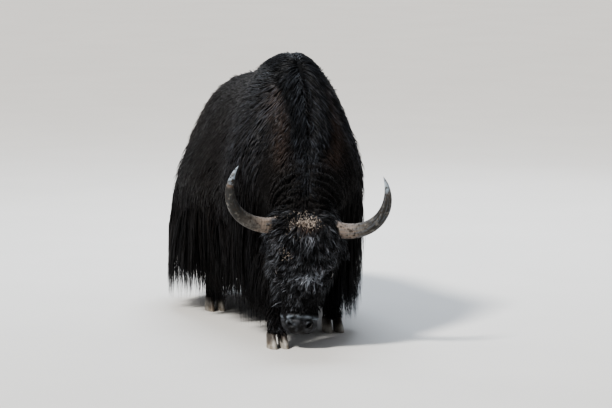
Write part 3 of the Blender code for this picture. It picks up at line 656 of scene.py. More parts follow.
def lids(side):
    """A ring of lid round one eye: its slit's edge, the lid's bulge, and its foot in the skin."""
    centre = np.array(mirrored(EYE_AT, side))
    look = np.array(mirrored(EYE_LOOK, side).normalized())
    slit = np.array(mirrored(EYE_SLIT, side))
    slit = unit(slit - look * dot(slit, look))
    other = np.cross(look, slit)
    angle = circle(LID_SIDES)[:, None]
    made = []
    for long, opening, reach in LID_RINGS:
        across = slit * long * np.cos(angle) + other * opening * np.sin(angle)
        depth = np.sqrt(np.maximum(reach**2 - np.sum(across**2, -1, keepdims=True), 0))
        if reach >= LID_FOOT:
            depth = LID_FOOT_HEIGHTS[reach > LID_FOOT]
        made.append(centre + across + look * depth)
    return moved(np.array(made), HEAD)


def ball_mesh(name, centre, radius, segments=48):
    work = bmesh.new()
    bmesh.ops.create_uvsphere(work, u_segments=segments, v_segments=segments // 2, radius=radius)
    bmesh.ops.triangulate(work, faces=work.faces)
    work.transform(Matrix.Translation(centre))
    mesh = bpy.data.meshes.new(name)
    work.to_mesh(mesh)
    work.free()
    return mesh


BODY = body_tube(6, 128)
FACE = Tube(moved(head_tube(14, 144).points, HEAD))
LEGS = {name: leg_tube(name, way, 6, 32) for name, way in LEG_WAYS.items()}
TAIL = tail_tube(4, 24)
EARS = {side: ear_tube(side, 6, 24) for side in (-1, 1)}


def build_skin():
    """Body, legs and tail melted into one surface, joined with the finer head, lids and ears."""
    skin = new_object("skin", BODY.mesh("skin"))
    limbs = [new_object("limb", tube.mesh("limb")) for tube in (*LEGS.values(), TAIL)]
    boolean(skin, limbs, "UNION")
    modify(skin, "REMESH", mode="VOXEL", voxel_size=SKIN_VOXEL)
    modify(skin, "SMOOTH", factor=0.5, iterations=6)
    modify(skin, "TRIANGULATE", quad_method="FIXED")
    applied(skin)
    head = new_object("head_skin", FACE.mesh("head_skin"))
    sockets = []
    rims = []
    for side in (-1, 1):
        ball = ball_mesh("socket", HEAD @ mirrored(EYE_AT, side), EYE_RADIUS + 0.0002)
        sockets.append(new_object("socket", ball))
        faces = grid_faces(len(LID_RINGS), len(LID_RINGS), LID_SIDES)
        rims.append(new_object("lid", closed_mesh("lid", lids(side).reshape(-1, 3), faces)))
    boolean(head, sockets, "DIFFERENCE")
    ears = [new_object("ear", tube.mesh("ear")) for tube in EARS.values()]
    boolean(head, rims + ears, "UNION")
    boolean(skin, [head], "UNION")
    skin.data.shade_smooth()
    return skin


def tree_of(obj):
    work = bmesh.new()
    work.from_mesh(obj.data)
    tree = BVHTree.FromBMesh(work)
    work.free()
    return tree


SKIN_OBJECT = build_skin()
SKIN = tree_of(SKIN_OBJECT)

# How far each strand's root is sunk into the skin, and the size of its patch on the bake map.
ROOT_SUNK = 0.004
PATCH = 0.003
# A spread of two numbers that fills a square evenly, one point after another, and how far each point
# strays from its place.
SPREAD_U = 0.7548776662466927
SPREAD_V = 0.5698402909980532
SCATTER = 0.45
# How far a root may lie from the joined skin, where its tube is not hidden in another.
ROOT_TOLERANCE = 0.010
# How far a strand may be pushed off the skin at each step, as a share of the step.
MOST_PUSH = 0.45
# How many leaders are looked through at once.
BATCH = 2000


def nearest_skin(points):
    """The skin's nearest point and outward normal for each point."""
    found = [SKIN.find_nearest(point) for point in points.tolist()]
    return np.array([foot[:] for foot, *_ in found]), np.array([normal[:] for _, normal, *_ in found])


def everywhere(p, n):
    return np.ones(p.shape[:-1])


class Hair:
    """Strands that grow on a tube: where they root, how they lie, and the tufts that they form."""

    def __init__(self, tube, count, seed, density, level=False):
        self.draw = np.random.default_rng(seed)
        weights = tube.area * density(tube.points, tube.normal)
        top = weights.max()
        tries = int(count * top / weights.mean())
        k = np.arange(1, tries + 1)
        scatter = SCATTER / math.sqrt(tries)
        u = (0.5 + k * SPREAD_U + self.draw.uniform(-scatter, scatter, tries)) % 1
        v = (0.5 + k * SPREAD_V + self.draw.uniform(-scatter, scatter, tries)) % 1
        keep = tube.at(weights, u, v) > top * self.draw.random(tries)
        u, v = u[keep], v[keep]
        points = tube.at(tube.points, u, v)
        feet, _ = nearest_skin(points)
        near = norm(points - feet) < ROOT_TOLERANCE
        self.u, self.v, self.roots = u[near], v[near], feet[near]
        self.normals = unit(tube.at(tube.normal, self.u, self.v))
        self.facing = unit(self.normals * (1, 1, 0.05)) if level else self.normals
        self.count = len(self.u)

    def vary(self, low, high):
        return self.draw.uniform(low, high, self.count)

    def shared(self, low, high):
        """A random number that the strands of a tuft share."""
        return self.vary(low, high)[self.leaders]

    def astray(self, amount):
        """A random turn for the way of each strand."""
        return amount * self.draw.standard_normal((self.count, 3))

    def lead(self, space):
        """Gives each root the nearest of a few leaders, spread evenly about this far apart."""
        span = np.ptp(self.roots, axis=0)
        area = span[0] * span[1] + span[1] * span[2] + span[0] * span[2]
        chosen = self.roots[: int(min(self.count, max(8, area / space**2)))]
        nearest = []
        for start in range(0, self.count, BATCH):
            offset = self.roots[start : start + BATCH, None, :] - chosen[None, :, :]
            nearest.append(np.argmin(np.sum(offset**2, -1), axis=1))
        self.leaders = np.concatenate(nearest)

    def grow(self, ways, length, stand, steps=3, droop=0.0, hug=1.0, lift=0.10):
        """Strands that start along the skin, turn towards the ground, and keep off the skin."""
        length, stand, droop, lift = (np.broadcast_to(v, self.count) for v in (length, stand, droop, lift))
        ways = np.broadcast_to(ways, self.roots.shape)
        flow = unit(ways - self.normals * dot(ways, self.normals)[:, None])
        place = self.roots
        points = [place - self.normals * ROOT_SUNK]
        way = unit(flow + self.normals * lift[:, None])
        for k in range(1, steps + 1):
            share = k / steps
            pull = np.clip(droop * share, 0, 1)[:, None]
            way = unit(way * (1 - pull) + DOWN * pull)
            place = place + way * (length / steps)[:, None]
            feet, out = nearest_skin(place)
            off = dot(place - feet, out)
            want = stand * share**0.7
            change = np.maximum(want - off, 0) + np.minimum(want - off, 0) * hug
            change = np.minimum(change, MOST_PUSH * length / steps + ROOT_SUNK)
            place = place + out * change[:, None]
            way = unit(place - points[-1]) if hug else way
            points.append(place)
        self.strands = np.stack(points, 1)
        self.share = np.arange(steps + 1) / steps

    def gather(self, strength, space=None):
        """Draws strands to their leaders, new ones where a space is given, more so towards the tips."""
        if space:
            self.lead(space)
        pull = np.reshape(strength, (-1, 1)) * self.share**1.4
        self.strands = self.strands + (self.strands[self.leaders] - self.strands) * pull[..., None]

    def curl(self, size, turns, apart=0.0, together=False):
        """Bends strands from side to side and in and out, more so towards their tips."""
        phase = self.shared(0, FULL_TURN)
        if apart:
            phase = phase + self.vary(-apart, apart)
        size = self.vary(*size) if isinstance(size, tuple) else np.full(self.count, size)
        turns = self.shared(*turns) if together else self.vary(*turns)
        side = unit(np.cross(unit(self.strands[:, -1] - self.strands[:, 0]), self.facing))
        angle = phase[:, None] + FULL_TURN * turns[:, None] * self.share
        reach = size[:, None] * np.sqrt(self.share)
        self.strands = self.strands + side[:, None, :] * (np.sin(angle) * reach)[..., None]
        self.strands = self.strands + self.facing[:, None, :] * (np.cos(angle) * reach * 0.6)[..., None]

    def hold(self, most):
        """Keeps strands from standing further out than this from their root's plane."""
        out = dot(self.strands - self.roots[:, None, :], self.facing[:, None, :])
        self.strands = self.strands - self.facing[:, None, :] * np.maximum(out - most, 0)[..., None]


# The width of a strand from its root on, as shares of the most, by its number of steps.
PROFILES = {
    3: (0.75, 1.0, 0.62),
    4: (0.65, 1.0, 0.85, 0.50),
    5: (0.60, 1.0, 0.95, 0.75, 0.42),
}
# The most triangles that a piece of the coat may have.
MOST_TRIANGLES = 199000


def column(k, count, low=0):
    """One of a few columns of the bake map, for a batch of strands."""
    return k / count, low, (k + 1) / count, 1


def scaled(values):
    """Values brought to run from a patch's width to one less than 1."""
    low, high = values.min(), values.max()
    return PATCH + (values - low) / max(high - low, 1e-6) * (1 - 2 * PATCH)


def strand_faces(rings):
    """The triangles of one strand: its root, its sides and its tip."""
    faces = [(0, 2, 1)] + grid_faces(rings - 1, rings, 3)
    top = 3 * (rings - 1)
    faces += [(top + i, top + (i + 1) % 3, 3 * rings) for i in range(3)]
    return np.array(faces)


class Coat:
    """One piece of the coat, gathered from batches of strands."""

    def __init__(self, name, finish):
        self.name, self.finish, self.first = name, finish, 0
        self.corners, self.faces, self.patches = [], [], []
        # Each strand's shade is its brightness: random tone, with painted light and shade in some coats.
        self.values = {"tint": [], "reach": [], "across": [], "warm": [], "grey": [], "tone_and_painted_light": []}

    def add(self, hair, width, thick, warm=0.0, grey=0.0, tone_and_painted_light=1.0, chart=(0, 0, 1, 1)):
        """Three-sided strands, flat against the way they face."""
        points = hair.strands
        count, rings = points.shape[0], points.shape[1] - 1
        ways = unit(np.gradient(points, axis=1))[:, :rings]
        across = unit(np.cross(ways, np.broadcast_to(hair.facing[:, None, :], ways.shape)))
        out = unit(np.cross(across, ways))
        profile = np.array(PROFILES[rings])[None, :, None]
        half = np.broadcast_to(width, (count,))[:, None, None] / 2 * profile
        centre = points[:, :rings]
        top = centre + out * (thick * profile)
        ring = np.stack([centre - across * half, top, centre + across * half], 2)
        corners = np.concatenate([ring.reshape(count, -1, 3), points[:, rings:]], 1)
        self.corners.append(corners.reshape(-1, 3))
        size = rings * 3 + 1
        starts = self.first + size * np.arange(count)
        self.faces.append((strand_faces(rings)[None] + starts[:, None, None]).reshape(-1, 3))
        self.first += size * count
        share = np.append(np.repeat(np.arange(rings) / rings, 3), 1.0)
        spread = np.append(np.tile([0.0, 0.5, 1.0], rings), 0.5)
        u0, v0, u1, v1 = chart
        u = u0 + (u1 - u0) * scaled(hair.u)[:, None] + PATCH * (spread - 0.5)
        v = v0 + (v1 - v0) * scaled(hair.v)[:, None] + PATCH * (share - 0.5)
        self.patches.append(np.stack([u, v], -1).reshape(-1, 2))
        for name, value in (("tint", hair.vary(0, 1)), ("warm", warm), ("grey", grey), ("tone_and_painted_light", tone_and_painted_light)):
            self.values[name].append(np.repeat(np.broadcast_to(value, (count,)), size))
        self.values["reach"].append(np.tile(share, count))
        self.values["across"].append(np.tile(spread, count))
        return self

    def build(self):
        corners = np.concatenate(self.corners)
        faces = np.concatenate(self.faces)
        if len(faces) > MOST_TRIANGLES:
            raise ValueError(f"{self.name} has {len(faces)} triangles")
        mesh = bpy.data.meshes.new(self.name)
        mesh.vertices.add(len(corners))
        mesh.vertices.foreach_set("co", corners.ravel().astype(np.float32))
        mesh.loops.add(faces.size)
        mesh.loops.foreach_set("vertex_index", faces.ravel().astype(np.int32))
        mesh.polygons.add(len(faces))
        mesh.polygons.foreach_set("loop_start", np.arange(0, faces.size, 3, dtype=np.int32))
        mesh.update(calc_edges=True)
        layer = mesh.uv_layers.new(name="OFBake")
        uv = np.concatenate(self.patches)[faces.ravel()]
        layer.data.foreach_set("uv", uv.ravel().astype(np.float32))
        for name, parts in self.values.items():
            set_field(mesh, name, np.concatenate(parts))
        return new_object(self.name, mesh, self.finish)


def set_field(mesh, name, values):
    field = mesh.attributes.new(name, "FLOAT", "POINT")
    field.data.foreach_set("value", np.asarray(values, np.float32))


class Value:
    """An output of a finish's nodes. Sums and products of values make more nodes."""

    def __init__(self, finish, socket):
        self.finish, self.socket = finish, socket

    def math(self, operation, *others):
        return self.finish.node("Math", dict(enumerate((self, *others))), operation=operation)

    def __add__(self, other):
        return self.math("ADD", other)

    def __mul__(self, other):
        return self.math("MULTIPLY", other)

    def line(self, scale, offset):
        """The value scaled and offset."""
        return self.math("MULTIPLY_ADD", scale, offset)

    def held(self, scale, offset):
        """The value scaled, offset and held between 0 and 1."""
        return self.finish.node("Clamp", {"Value": self.line(scale, offset)})


class Finish:
    """A material, made node by node."""

    def __init__(self, name):
        self.made = bpy.data.materials.new(name)
        self.made.use_nodes = True
        self.tree = self.made.node_tree
        self.shader = self.tree.nodes["Principled BSDF"]

    def fill(self, node, inputs):
        """Links values to a node's inputs, or sets numbers, colours and scales there."""
        for name, value in inputs.items():
            socket = node.inputs[name]
            if isinstance(value, Value):
                self.tree.links.new(value.socket, socket)
            else:
                socket.default_value = (*value, 1) if socket.type == "RGBA" else value

    def node(self, kind, inputs, output=0, **settings):
        node = self.tree.nodes.new("ShaderNode" + kind)
        for name, value in settings.items():
            setattr(node, name, value)
        self.fill(node, inputs)
        return Value(self, node.outputs[output])

    def field(self, name):
        return self.node("Attribute", {}, "Fac", attribute_name=name)

    def place(self):
        return self.node("TexCoord", {}, "Object")

    def point(self, *values):
        return self.node("CombineXYZ", dict(enumerate(values)))

    def mix(self, share, first, second, blend="MIX"):
        inputs = {"Factor": share, 6: first, 7: second}
        return self.node("Mix", inputs, 2, data_type="RGBA", blend_type=blend)

    def noise(self, scale, detail=4.0, stretch=(1, 1, 1), place=None):
        """A noise over the piece's own place, finer along the ways that are stretched."""
        place = place or self.node("Mapping", {"Vector": self.place(), "Scale": stretch})
        return self.node("TexNoise", {"Vector": place, "Scale": scale, "Detail": detail}, "Fac")

    def bump(self, height, strength, depth):
        inputs = {"Height": height, "Strength": strength, "Distance": depth}
        self.fill(self.shader, {"Normal": self.node("Bump", inputs, "Normal")})

    def done(self, colour, roughness, specular=0.5, **others):
        """The material, with the shader's other inputs given by name."""
        inputs = {"Base Color": colour, "Roughness": roughness, "Specular IOR Level": specular}
        self.fill(self.shader, inputs)
        self.fill(self.shader, {word.replace("_", " "): value for word, value in others.items()})
        return self.made


# Colours as linear red, green and blue.
BLACK = (0.0018, 0.0018, 0.0022)
BROWN = (0.0170, 0.0095, 0.0060)
# Painted sheen, mixed into the black hair: blue-grey on the body, grey on the head.
SHEEN_GREY = (0.0240, 0.0265, 0.0330)
HEAD_SHEEN_GREY = (0.0280, 0.0300, 0.0340)
SKY = (0.62, 0.70, 0.86)
SLATE_DARK = (0.0020, 0.0020, 0.0028)
SLATE_PALE = (0.0480, 0.0510, 0.0590)
# A painted highlight for the rims of the muzzle's fold and nostrils.
MUZZLE_PAINTED_HIGHLIGHT = (0.150, 0.175, 0.205)
HORN_STREAK = (0.100, 0.112, 0.130)
HORN_FLAKE = (0.150, 0.140, 0.126)
HORN_FLECK = (0.030, 0.024, 0.020)
HORN_RING = (0.035, 0.028, 0.023)
HORN_NOTCH = (0.085, 0.058, 0.043)
HOOF_DARK = (0.16, 0.145, 0.125)
HOOF_PALE = (0.46, 0.44, 0.40)
HOOF_DIRT = (0.11, 0.085, 0.06)
HOOF_CROWN = (0.045, 0.038, 0.032)
IRIS_DARK = (0.008, 0.004, 0.003)
IRIS_PALE = (0.026, 0.012, 0.007)
EYE_WHITE = (0.060, 0.048, 0.044)
PUPIL = (0.002, 0.002, 0.003)
STRAW_DARK = (0.20, 0.15, 0.11)
STRAW_PALE = (0.85, 0.75, 0.66)
FLOOR_DARK = (0.66, 0.65, 0.63)
FLOOR_PALE = (0.72, 0.71, 0.69)


def hair_finish(name, paler, gloss, roughest):
    """Black hair: the colour of its painted sheen, how much it shines and how dull it is."""
    hair = Finish(name)
    tint, reach, warm, grey = (hair.field(word) for word in ("tint", "reach", "warm", "grey"))
    base = hair.mix(warm * reach.line(0.6, 0.4), BLACK, BROWN)
    # The grey share mixes in a painted sheen, most towards the tips.
    base = hair.mix(grey * (tint * hair.noise(3.2)) * reach.line(1.1, 0.25), base, paler)
    # The noise is drawn out along each strand, as if it were made of finer hairs.
    strand = hair.point(tint.line(91.0, hair.field("across") * 7.0), reach * 2.2, tint * 53.0)
    fine = hair.noise(1.0, 2.0, place=strand)
    # Each strand's brightness: its random tone, with painted light and shade, lighter towards the tips.
    light = (tint.line(0.4, 0.40) + fine * 0.8) * reach.line(0.5, 0.62) * hair.field("tone_and_painted_light")
    base = hair.mix(1.0, base, hair.node("CombineColor", {0: light, 1: light, 2: light}), "MULTIPLY")
    hair.bump(fine, 0.55, 0.0012)
    sheen = {"Sheen_Weight": 0.08 * gloss, "Sheen_Roughness": 0.45, "Sheen_Tint": SKY}
    return hair.done(base, fine.line(0.22, roughest), gloss, **sheen)


def skin_finish():
    """Black hide, with the muzzle bare, slate grey and pebbled, and a painted highlight on its rims."""
    skin = Finish("skin")
    bare = skin.field("bare")
    # The rims get a painted highlight, broken up by noise.
    rim = skin.field("rim") * skin.noise(30, 4).held(4.0, -1.55)
    mottle = skin.noise(30, 6).held(4.4, -1.95)
    slate = skin.mix(mottle, SLATE_DARK, SLATE_PALE)
    slate = skin.mix(rim, slate, MUZZLE_PAINTED_HIGHLIGHT)
    damp = skin.noise(90)
    pebbles = skin.node("TexVoronoi", {"Vector": skin.place(), "Scale": 260}, "Distance")
    creases = skin.noise(34, 3, (1, 1, 2.5))
    skin.bump(creases.line(2.5, pebbles.line(0.5, damp)), 0.60, 0.0024)
    rough = damp.line(0.30, 0.36).math("MAXIMUM", bare.line(-0.95, 0.95))
    return skin.done(skin.mix(bare, BLACK, slate), rough, 0.22)


# The colours along a horn: brown-beige at the root, nearly black along the middle, then blue-white.
HORN_COLOURS = [
    (0.00, (0.175, 0.130, 0.104)),
    (0.24, (0.210, 0.166, 0.136)),
    (0.36, (0.085, 0.074, 0.063)),
    (0.52, (0.018, 0.017, 0.015)),
    (0.76, (0.020, 0.019, 0.017)),
    (0.82, (0.070, 0.062, 0.056)),
    (0.88, (0.200, 0.235, 0.272)),
    (1.00, (0.460, 0.535, 0.600)),
]


def horn_finish():
    """A horn with paler streaks, flakes, flecks, the rings of its growth and a worn joint."""
    horn = Finish("horn")
    along, turn_x, turn_y = (horn.field(word) for word in ("along", "turn_x", "turn_y"))
    ring = horn.point(turn_x * 3.0, turn_y * 3.0, along * 5.0)
    streak = horn.noise(1.4, place=ring)
    bands = horn.tree.nodes.new("ShaderNodeValToRGB")
    for place, _ in HORN_COLOURS[1:-1]:
        bands.color_ramp.elements.new(place)
    for element, (place, colour) in zip(bands.color_ramp.elements, HORN_COLOURS):
        element.position = place
        element.color = (*colour, 1)
    horn.fill(bands, {"Fac": horn.noise(22, 4).line(0.24, along) + -0.12})
    base = Value(horn, bands.outputs["Color"])
    flecks = horn.noise(75, 6)
    base = horn.mix(streak.held(4.0, -1.8) * horn.field("pale"), base, HORN_STREAK)
    base = horn.mix(horn.noise(46, 6).held(9.0, -4.7) * 0.65, base, HORN_FLAKE)
    base = horn.mix(flecks.held(6.0, -2.95), base, HORN_FLECK)
    base = horn.mix(horn.field("ridge"), base, HORN_RING)
    base = horn.mix(horn.field("joint"), base, HORN_NOTCH)
    horn.bump(streak.line(1.5, flecks), 0.6, 0.0016)
    return horn.done(base, flecks.line(0.50, 0.36), 0.28)


def hoof_finish():
    """Pale grey horn with streaks and dirt, darker at the crown."""
    hoof = Finish("hoof")
    streaks, dirt = hoof.noise(60, 5, (1, 1, 0.12)), hoof.noise(22, 5)
    base = hoof.mix(streaks, HOOF_DARK, HOOF_PALE)
    base = hoof.mix(dirt.held(5.0, -2.2), base, HOOF_DIRT)
    base = hoof.mix(dirt.line(0.8, hoof.field("crown")).held(2.2, -1.6), base, HOOF_CROWN)
    hoof.bump(streaks, 0.8, 0.0025)
    return hoof.done(base, 0.55)


def eye_finish():
    """A dark brown iris round a level pupil, with a thin edge of white, under a wet surface."""
    eye = Finish("eye")
    base = eye.mix(eye.noise(420, 3), IRIS_DARK, IRIS_PALE)
    base = eye.mix(eye.field("white"), base, EYE_WHITE)
    base = eye.mix(eye.field("pupil"), base, PUPIL)
    return eye.done(base, 0.06, 0.3, Coat_Weight=0.12, Coat_Roughness=0.03)


def straw_finish():
    straw = Finish("straw")
    return straw.done(straw.mix(straw.field("tint"), STRAW_DARK, STRAW_PALE), 0.8)


def floor_finish():
    ground = Finish("floor")
    return ground.done(ground.mix(ground.noise(1.5, 5), FLOOR_DARK, FLOOR_PALE), 0.9)


BACK_HAIR = hair_finish("hair", SHEEN_GREY, 0.34, 0.34)
NECK_HAIR = hair_finish("neck_hair", SHEEN_GREY, 0.22, 0.36)
HEAD_HAIR = hair_finish("hair_of_head", HEAD_SHEEN_GREY, 0.17, 0.36)
LONG_HAIR = hair_finish("long_hair", SHEEN_GREY, 0.15, 0.42)

# In the coats, the two ends of each ramp and the middle of each gauss are places in metres: y from the
# muzzle at -1 to the buttocks at 1, z up from the ground, or those of the head's frame. What is drawn
# at random is a share, a size in metres or a way.

# How many roots each coat is tried with. A leg, an ear and an eye's lids have their own number each.
ROOTS = {
    "back": 9500,
    "skirt": 8200,
    "neck": 9800,
    "crest": 4200,
    "throat": 3400,
    "forelock": 8300,
    "cheeks": 3900,
    "face": 4000,
    "lids": 330,
    "ear": 750,
    "leg": 1150,
    "fore_feather": 1400,
    "hind_feather": 600,
    "tail": 2300,
    "straw": 480,
}
# Where the hair of the back parts: behind it the hair lies back, ahead of it down to the poll.
WHORL_Y = -0.45
# Where the body's hair ends and the neck's begins, as y.
SHOULDER_LINE = (-0.66, -0.54)
# The long hair: its hem at the belly and at the forearms, its reach, and where it starts.
HEM = 0.070
FOREARM_HEM = 0.030
THIGH_RISE = 0.050
LONGEST = 0.56
LONGEST_AHEAD = 0.64
SHORTEST = 0.13
CREASE_HEIGHT = 0.538
CREASE_SLOPE = 0.155
SHOULDER_RISE = 0.20
GROUND_GAP = 0.035
# How much further out the long hair of the left shoulder ends.
SHOULDER_FLARE = 0.056
THROAT_HEM = 0.25
# Places in the head's frame: the straw's dust on the poll, the brow and the horn's root, the foot of
# the right horn, where the hair stands up, and the whorl between the eyes.
POLL_DUST = np.array((-0.008, -0.030, -0.016))
POLL_DUST_HALF = np.array((0.048, 0.040, 0.020))
BROW_DUST = (-0.105, -0.050, -0.165)
ROOT_DUST = (-0.085, -0.020, -0.040)
RIGHT_HORN_FOOT = (-0.105, -0.022, -0.024)
FACE_WHORL = (0.022, -0.248)
FACE_WHORL_WIDTH = 0.070


def lie_of_coat(p):
    """The way the short hair lies: back and down behind the whorl, down and outwards ahead of it."""
    _, y, z = split(p)
    fall = ramp(1.24, 0.85, z)
    front = ramp(WHORL_Y + 0.12, WHORL_Y - 0.08, y)
    rump = ramp(0.66, 0.90, y)
    back = (1 - rump) * (0.95 - 0.45 * fall) * (1 - front) + 0.10 * front
    down = 0.12 + 0.85 * fall + 0.75 * front + 0.9 * rump
    return unit(stacked(side_of(p) * (0.10 + 0.35 * front), back, -down))


def side_of(p):
    return np.sign(aside(p) + 1e-6)


def brownness(p):
    """How far the black is faded to brown: most on the rump and down the flanks."""
    _, y, z = split(p)
    patches = 0.5 + 0.5 * np.sin(4.1 * y + 2.2 * z + 0.6)
    return 0.20 + 0.45 * ramp(0.35, 0.90, y) + 0.25 * patches * ramp(-0.5, 0.0, y)


def painted_blue_sheen(p):
    """Where a blue-grey sheen is painted on the hair: over the hump, the shoulders and the crest."""
    _, y, z = split(p)
    return ramp(0.25, -0.35, y) * ramp(0.70, 1.05, z - 0.35 * y - 0.15)


def neck_edge(p):
    """The sunlit edge of the neck, where painted light makes the hair lighter and browner."""
    _, y, z = split(p)
    return gauss(np.abs(aside(p)) - 0.115, 0.045) * ramp(0.78, 0.92, z) * ramp(-0.38, -0.48, y)


def painted_neck_shade(p):
    """Painted light and shade round the neck: painted shade in the furrow, painted light along the neck's
    edge.
    """
    left = stacked(np.abs(aside(p)), p[..., 1], p[..., 2])
    furrow = np.max([gauss(distance(left, place), 0.055) for place, _, _ in FURROW], axis=0)
    return 1 - 0.60 * furrow + 1.1 * neck_edge(p)


def below_crease(p):
    """How far below the crease of the flank a point is; the crease rises towards the rump."""
    _, y, z = split(p)
    wander = 0.016 * np.sin(9 * y) + 0.010 * np.sin(23 * y + 2)
    return CREASE_HEIGHT + CREASE_SLOPE * y + SHOULDER_RISE * ramp(-0.20, -0.42, y) + wander - z


def painted_crease_shade(p):
    """Painted shade in the crease of the flank, from the thigh to the elbow."""
    share = ramp(-0.32, -0.16, p[:, 1]) * ramp(0.60, 0.42, p[:, 1])
    return 1 - 0.55 * share * gauss(below_crease(p) + 0.012, 0.034)


def back_coat(name, side, seed):
    """Hair that lies back along the back and down the flank, longer lower down."""

    def density(p, n):
        return (side * aside(p) >= 0) * ramp(0.46, 0.60, p[..., 2]) * ramp(*SHOULDER_LINE, p[..., 1])

    hair = Hair(BODY, ROOTS["back"], seed, density)
    p = hair.roots
    _, y, z = split(p)
    low = ramp(1.00, 0.62, z)
    length = (0.060 + 0.060 * low) * hair.vary(0.75, 1.25)
    loose = hair.vary(0, 1) < 0.14
    stand = (0.007 + 0.006 * low) * hair.vary(0.5, 1.5) * (1 + 1.3 * loose)
    hair.grow(lie_of_coat(p) + hair.astray(0.12), length, stand, lift=0.08)
    hair.gather(0.25, space=0.040)
    width = hair.vary(0.0055, 0.0100) * (1 - 0.55 * loose)
    # Painted light and shade: a blue-grey sheen brighter in streaks, painted shade in the furrow, the
    # crease and on the hump's top, painted light on the shoulder, the upper flank and the neck's edge;
    # darker on the rump.
    blue = painted_blue_sheen(p)
    tone_and_painted_light = painted_neck_shade(p) * (1.05 + blue * (1.9 * hair.shared(0, 1) ** 2 - 0.50)) * painted_crease_shade(p)
    rump = ramp(0.30, 0.60, y) * ramp(0.95, 0.75, z)
    tone_and_painted_light = tone_and_painted_light * (1 - 0.55 * ramp(1.15, 1.27, z)) * (1 - 0.30 * rump)
    shoulder = gauss(y + 0.38, 0.28) * gauss(z - 0.88, 0.20)
    tone_and_painted_light = tone_and_painted_light * (1 + 0.45 * shoulder + 0.35 * ramp(0.80, 0.95, z) * ramp(1.22, 1.10, z))
    # The neck's sunlit edge is painted browner. The left side, in the shade, takes the less glossy neck
    # finish, a duller copy of the hair standing for shade.
    warm = brownness(p) + 0.8 * neck_edge(p)
    coat = Coat(name, BACK_HAIR if side < 0 else NECK_HAIR)
    grey = 1.3 * blue + 0.9 * shoulder
    return coat.add(hair, width, thick=0.0022, warm=warm, grey=grey, tone_and_painted_light=tone_and_painted_light)


def skirt_coat(name, side, seed):
    """Long hair of the flank, the belly and the buttocks, hanging to the hem in pointed locks."""

    def density(p, n):
        y, depth = p[..., 1], below_crease(p)
        band = (0.22 + 0.78 * ramp(-0.06, 0.03, depth)) * ramp(-0.34, -0.12, depth)
        band = (band + 0.7 * ramp(0.80, 0.93, y)) * (0.6 + 0.4 * gauss(y + 0.24, 0.24))
        return (side * aside(p) >= 0) * np.minimum(band, 1) * ramp(*SHOULDER_LINE, y)

    hair = Hair(BODY, ROOTS["skirt"], seed, density, level=True)
    x, y, z = split(hair.roots)
    depth = below_crease(hair.roots)
    forearm = ramp(0.00, -0.30, y)
    thigh = ramp(0.55, 0.80, y)
    hem = HEM + (FOREARM_HEM - HEM) * forearm + THIGH_RISE * thigh + 0.018 * np.sin(11 * y + side)
    inward = ramp(0.30, 0.10, np.abs(x)) * ramp(0.6, 0.45, z)
    long = ramp(-0.14, 0.02, depth)
    reach = SHORTEST + (LONGEST + (LONGEST_AHEAD - LONGEST) * forearm - SHORTEST) * long
    hair.lead(0.040)
    length = np.minimum(reach, z - hem - 0.06 * inward) * hair.vary(0.89, 1.05) * hair.shared(0.91, 1.08)
    length = np.minimum(length, z - GROUND_GAP)
    stand = hair.vary(0.010, 0.040) * (1 - 0.7 * inward) * (0.3 + 0.7 * long) * (1 - 0.35 * thigh)
    ways = stacked(0.0, 0.30 - 0.26 * forearm, -1.0) + hair.astray(0.12) + hair.astray(0.13)[hair.leaders]
    hair.grow(ways, length, stand, steps=4, droop=hair.vary(0.35, 0.9), hug=0.0)
    hair.gather(0.36)
    hair.curl((0.006, 0.016), (0.3, 0.8), apart=1.6)
    hair.hold(0.050)
    if side > 0:
        flare = SHOULDER_FLARE * forearm * (1 - inward) * ramp(0.78, 0.58, z)
        hair.strands = hair.strands + (flare[:, None] * hair.share)[..., None] * ACROSS
    # Painted light below the crease, on the haunch and on the hair of the forearm, and painted shade in the
    # crease; the shorter hair above is lighter, with random tone in tufts.
    lit = 0.45 * gauss(depth - 0.05, 0.06) + 0.5 * gauss(y - 0.58, 0.20) * gauss(z - 0.60, 0.08)
    lit = lit + 1.3 * gauss(y + 0.27, 0.13) * gauss(z - 0.52, 0.08)
    tone_and_painted_light = (0.36 + lit + 0.50 * (1 - long)) * hair.shared(0.85, 1.15) * hair.vary(0.7, 1.3)
    tone_and_painted_light = tone_and_painted_light * painted_crease_shade(hair.roots)
    warm = 0.15 + brownness(hair.roots)
    width = hair.vary(0.0045, 0.012)
    return Coat(name, LONG_HAIR).add(hair, width, thick=0.0026, warm=warm, grey=0.9, tone_and_painted_light=tone_and_painted_light)


def neck_coat(seed):
    """Short hair down the sides of the neck, raised in folds above the poll."""

    def density(p, n):
        return ramp(-0.50, -0.60, p[..., 1]) * (0.75 + 0.9 * folds(p)[1])

    hair = Hair(BODY, ROOTS["neck"], seed, density)
    p = hair.roots
    _, folded = folds(p)
    length = (0.050 - 0.022 * folded) * hair.vary(0.6, 1.4)
    stand = (0.008 - 0.004 * folded) * hair.vary(0.3, 1.7)
    hair.grow(lie_of_coat(p) + hair.astray(0.16), length, stand)
    hair.gather(0.40 - 0.25 * folded, space=0.035)
    wave, strength = folds(hair.strands)
    rise = FOLD_HEIGHT * (wave * strength + folded[:, None])
    hair.strands = hair.strands + hair.normals[:, None, :] * rise[..., None]
    # Painted light and sheen on the ridges of the folds and painted shade in their hollows; painted light
    # along the neck's edge and painted shade in the furrow.
    wave, _ = folds(hair.strands[:, 2])
    tone_and_painted_light = painted_neck_shade(p) * (1 + folded * (1.1 * wave + 0.10) + hair.vary(-0.25, 0.30))
    grey = 0.35 * painted_blue_sheen(p) + 0.9 * folded * np.maximum(wave, 0)
    warm = 0.30 + 0.8 * neck_edge(p)
    coat, width = Coat("coat_neck", NECK_HAIR), hair.vary(0.005, 0.008)
    return coat.add(hair, width, thick=0.0020, warm=warm, grey=grey, tone_and_painted_light=tone_and_painted_light)


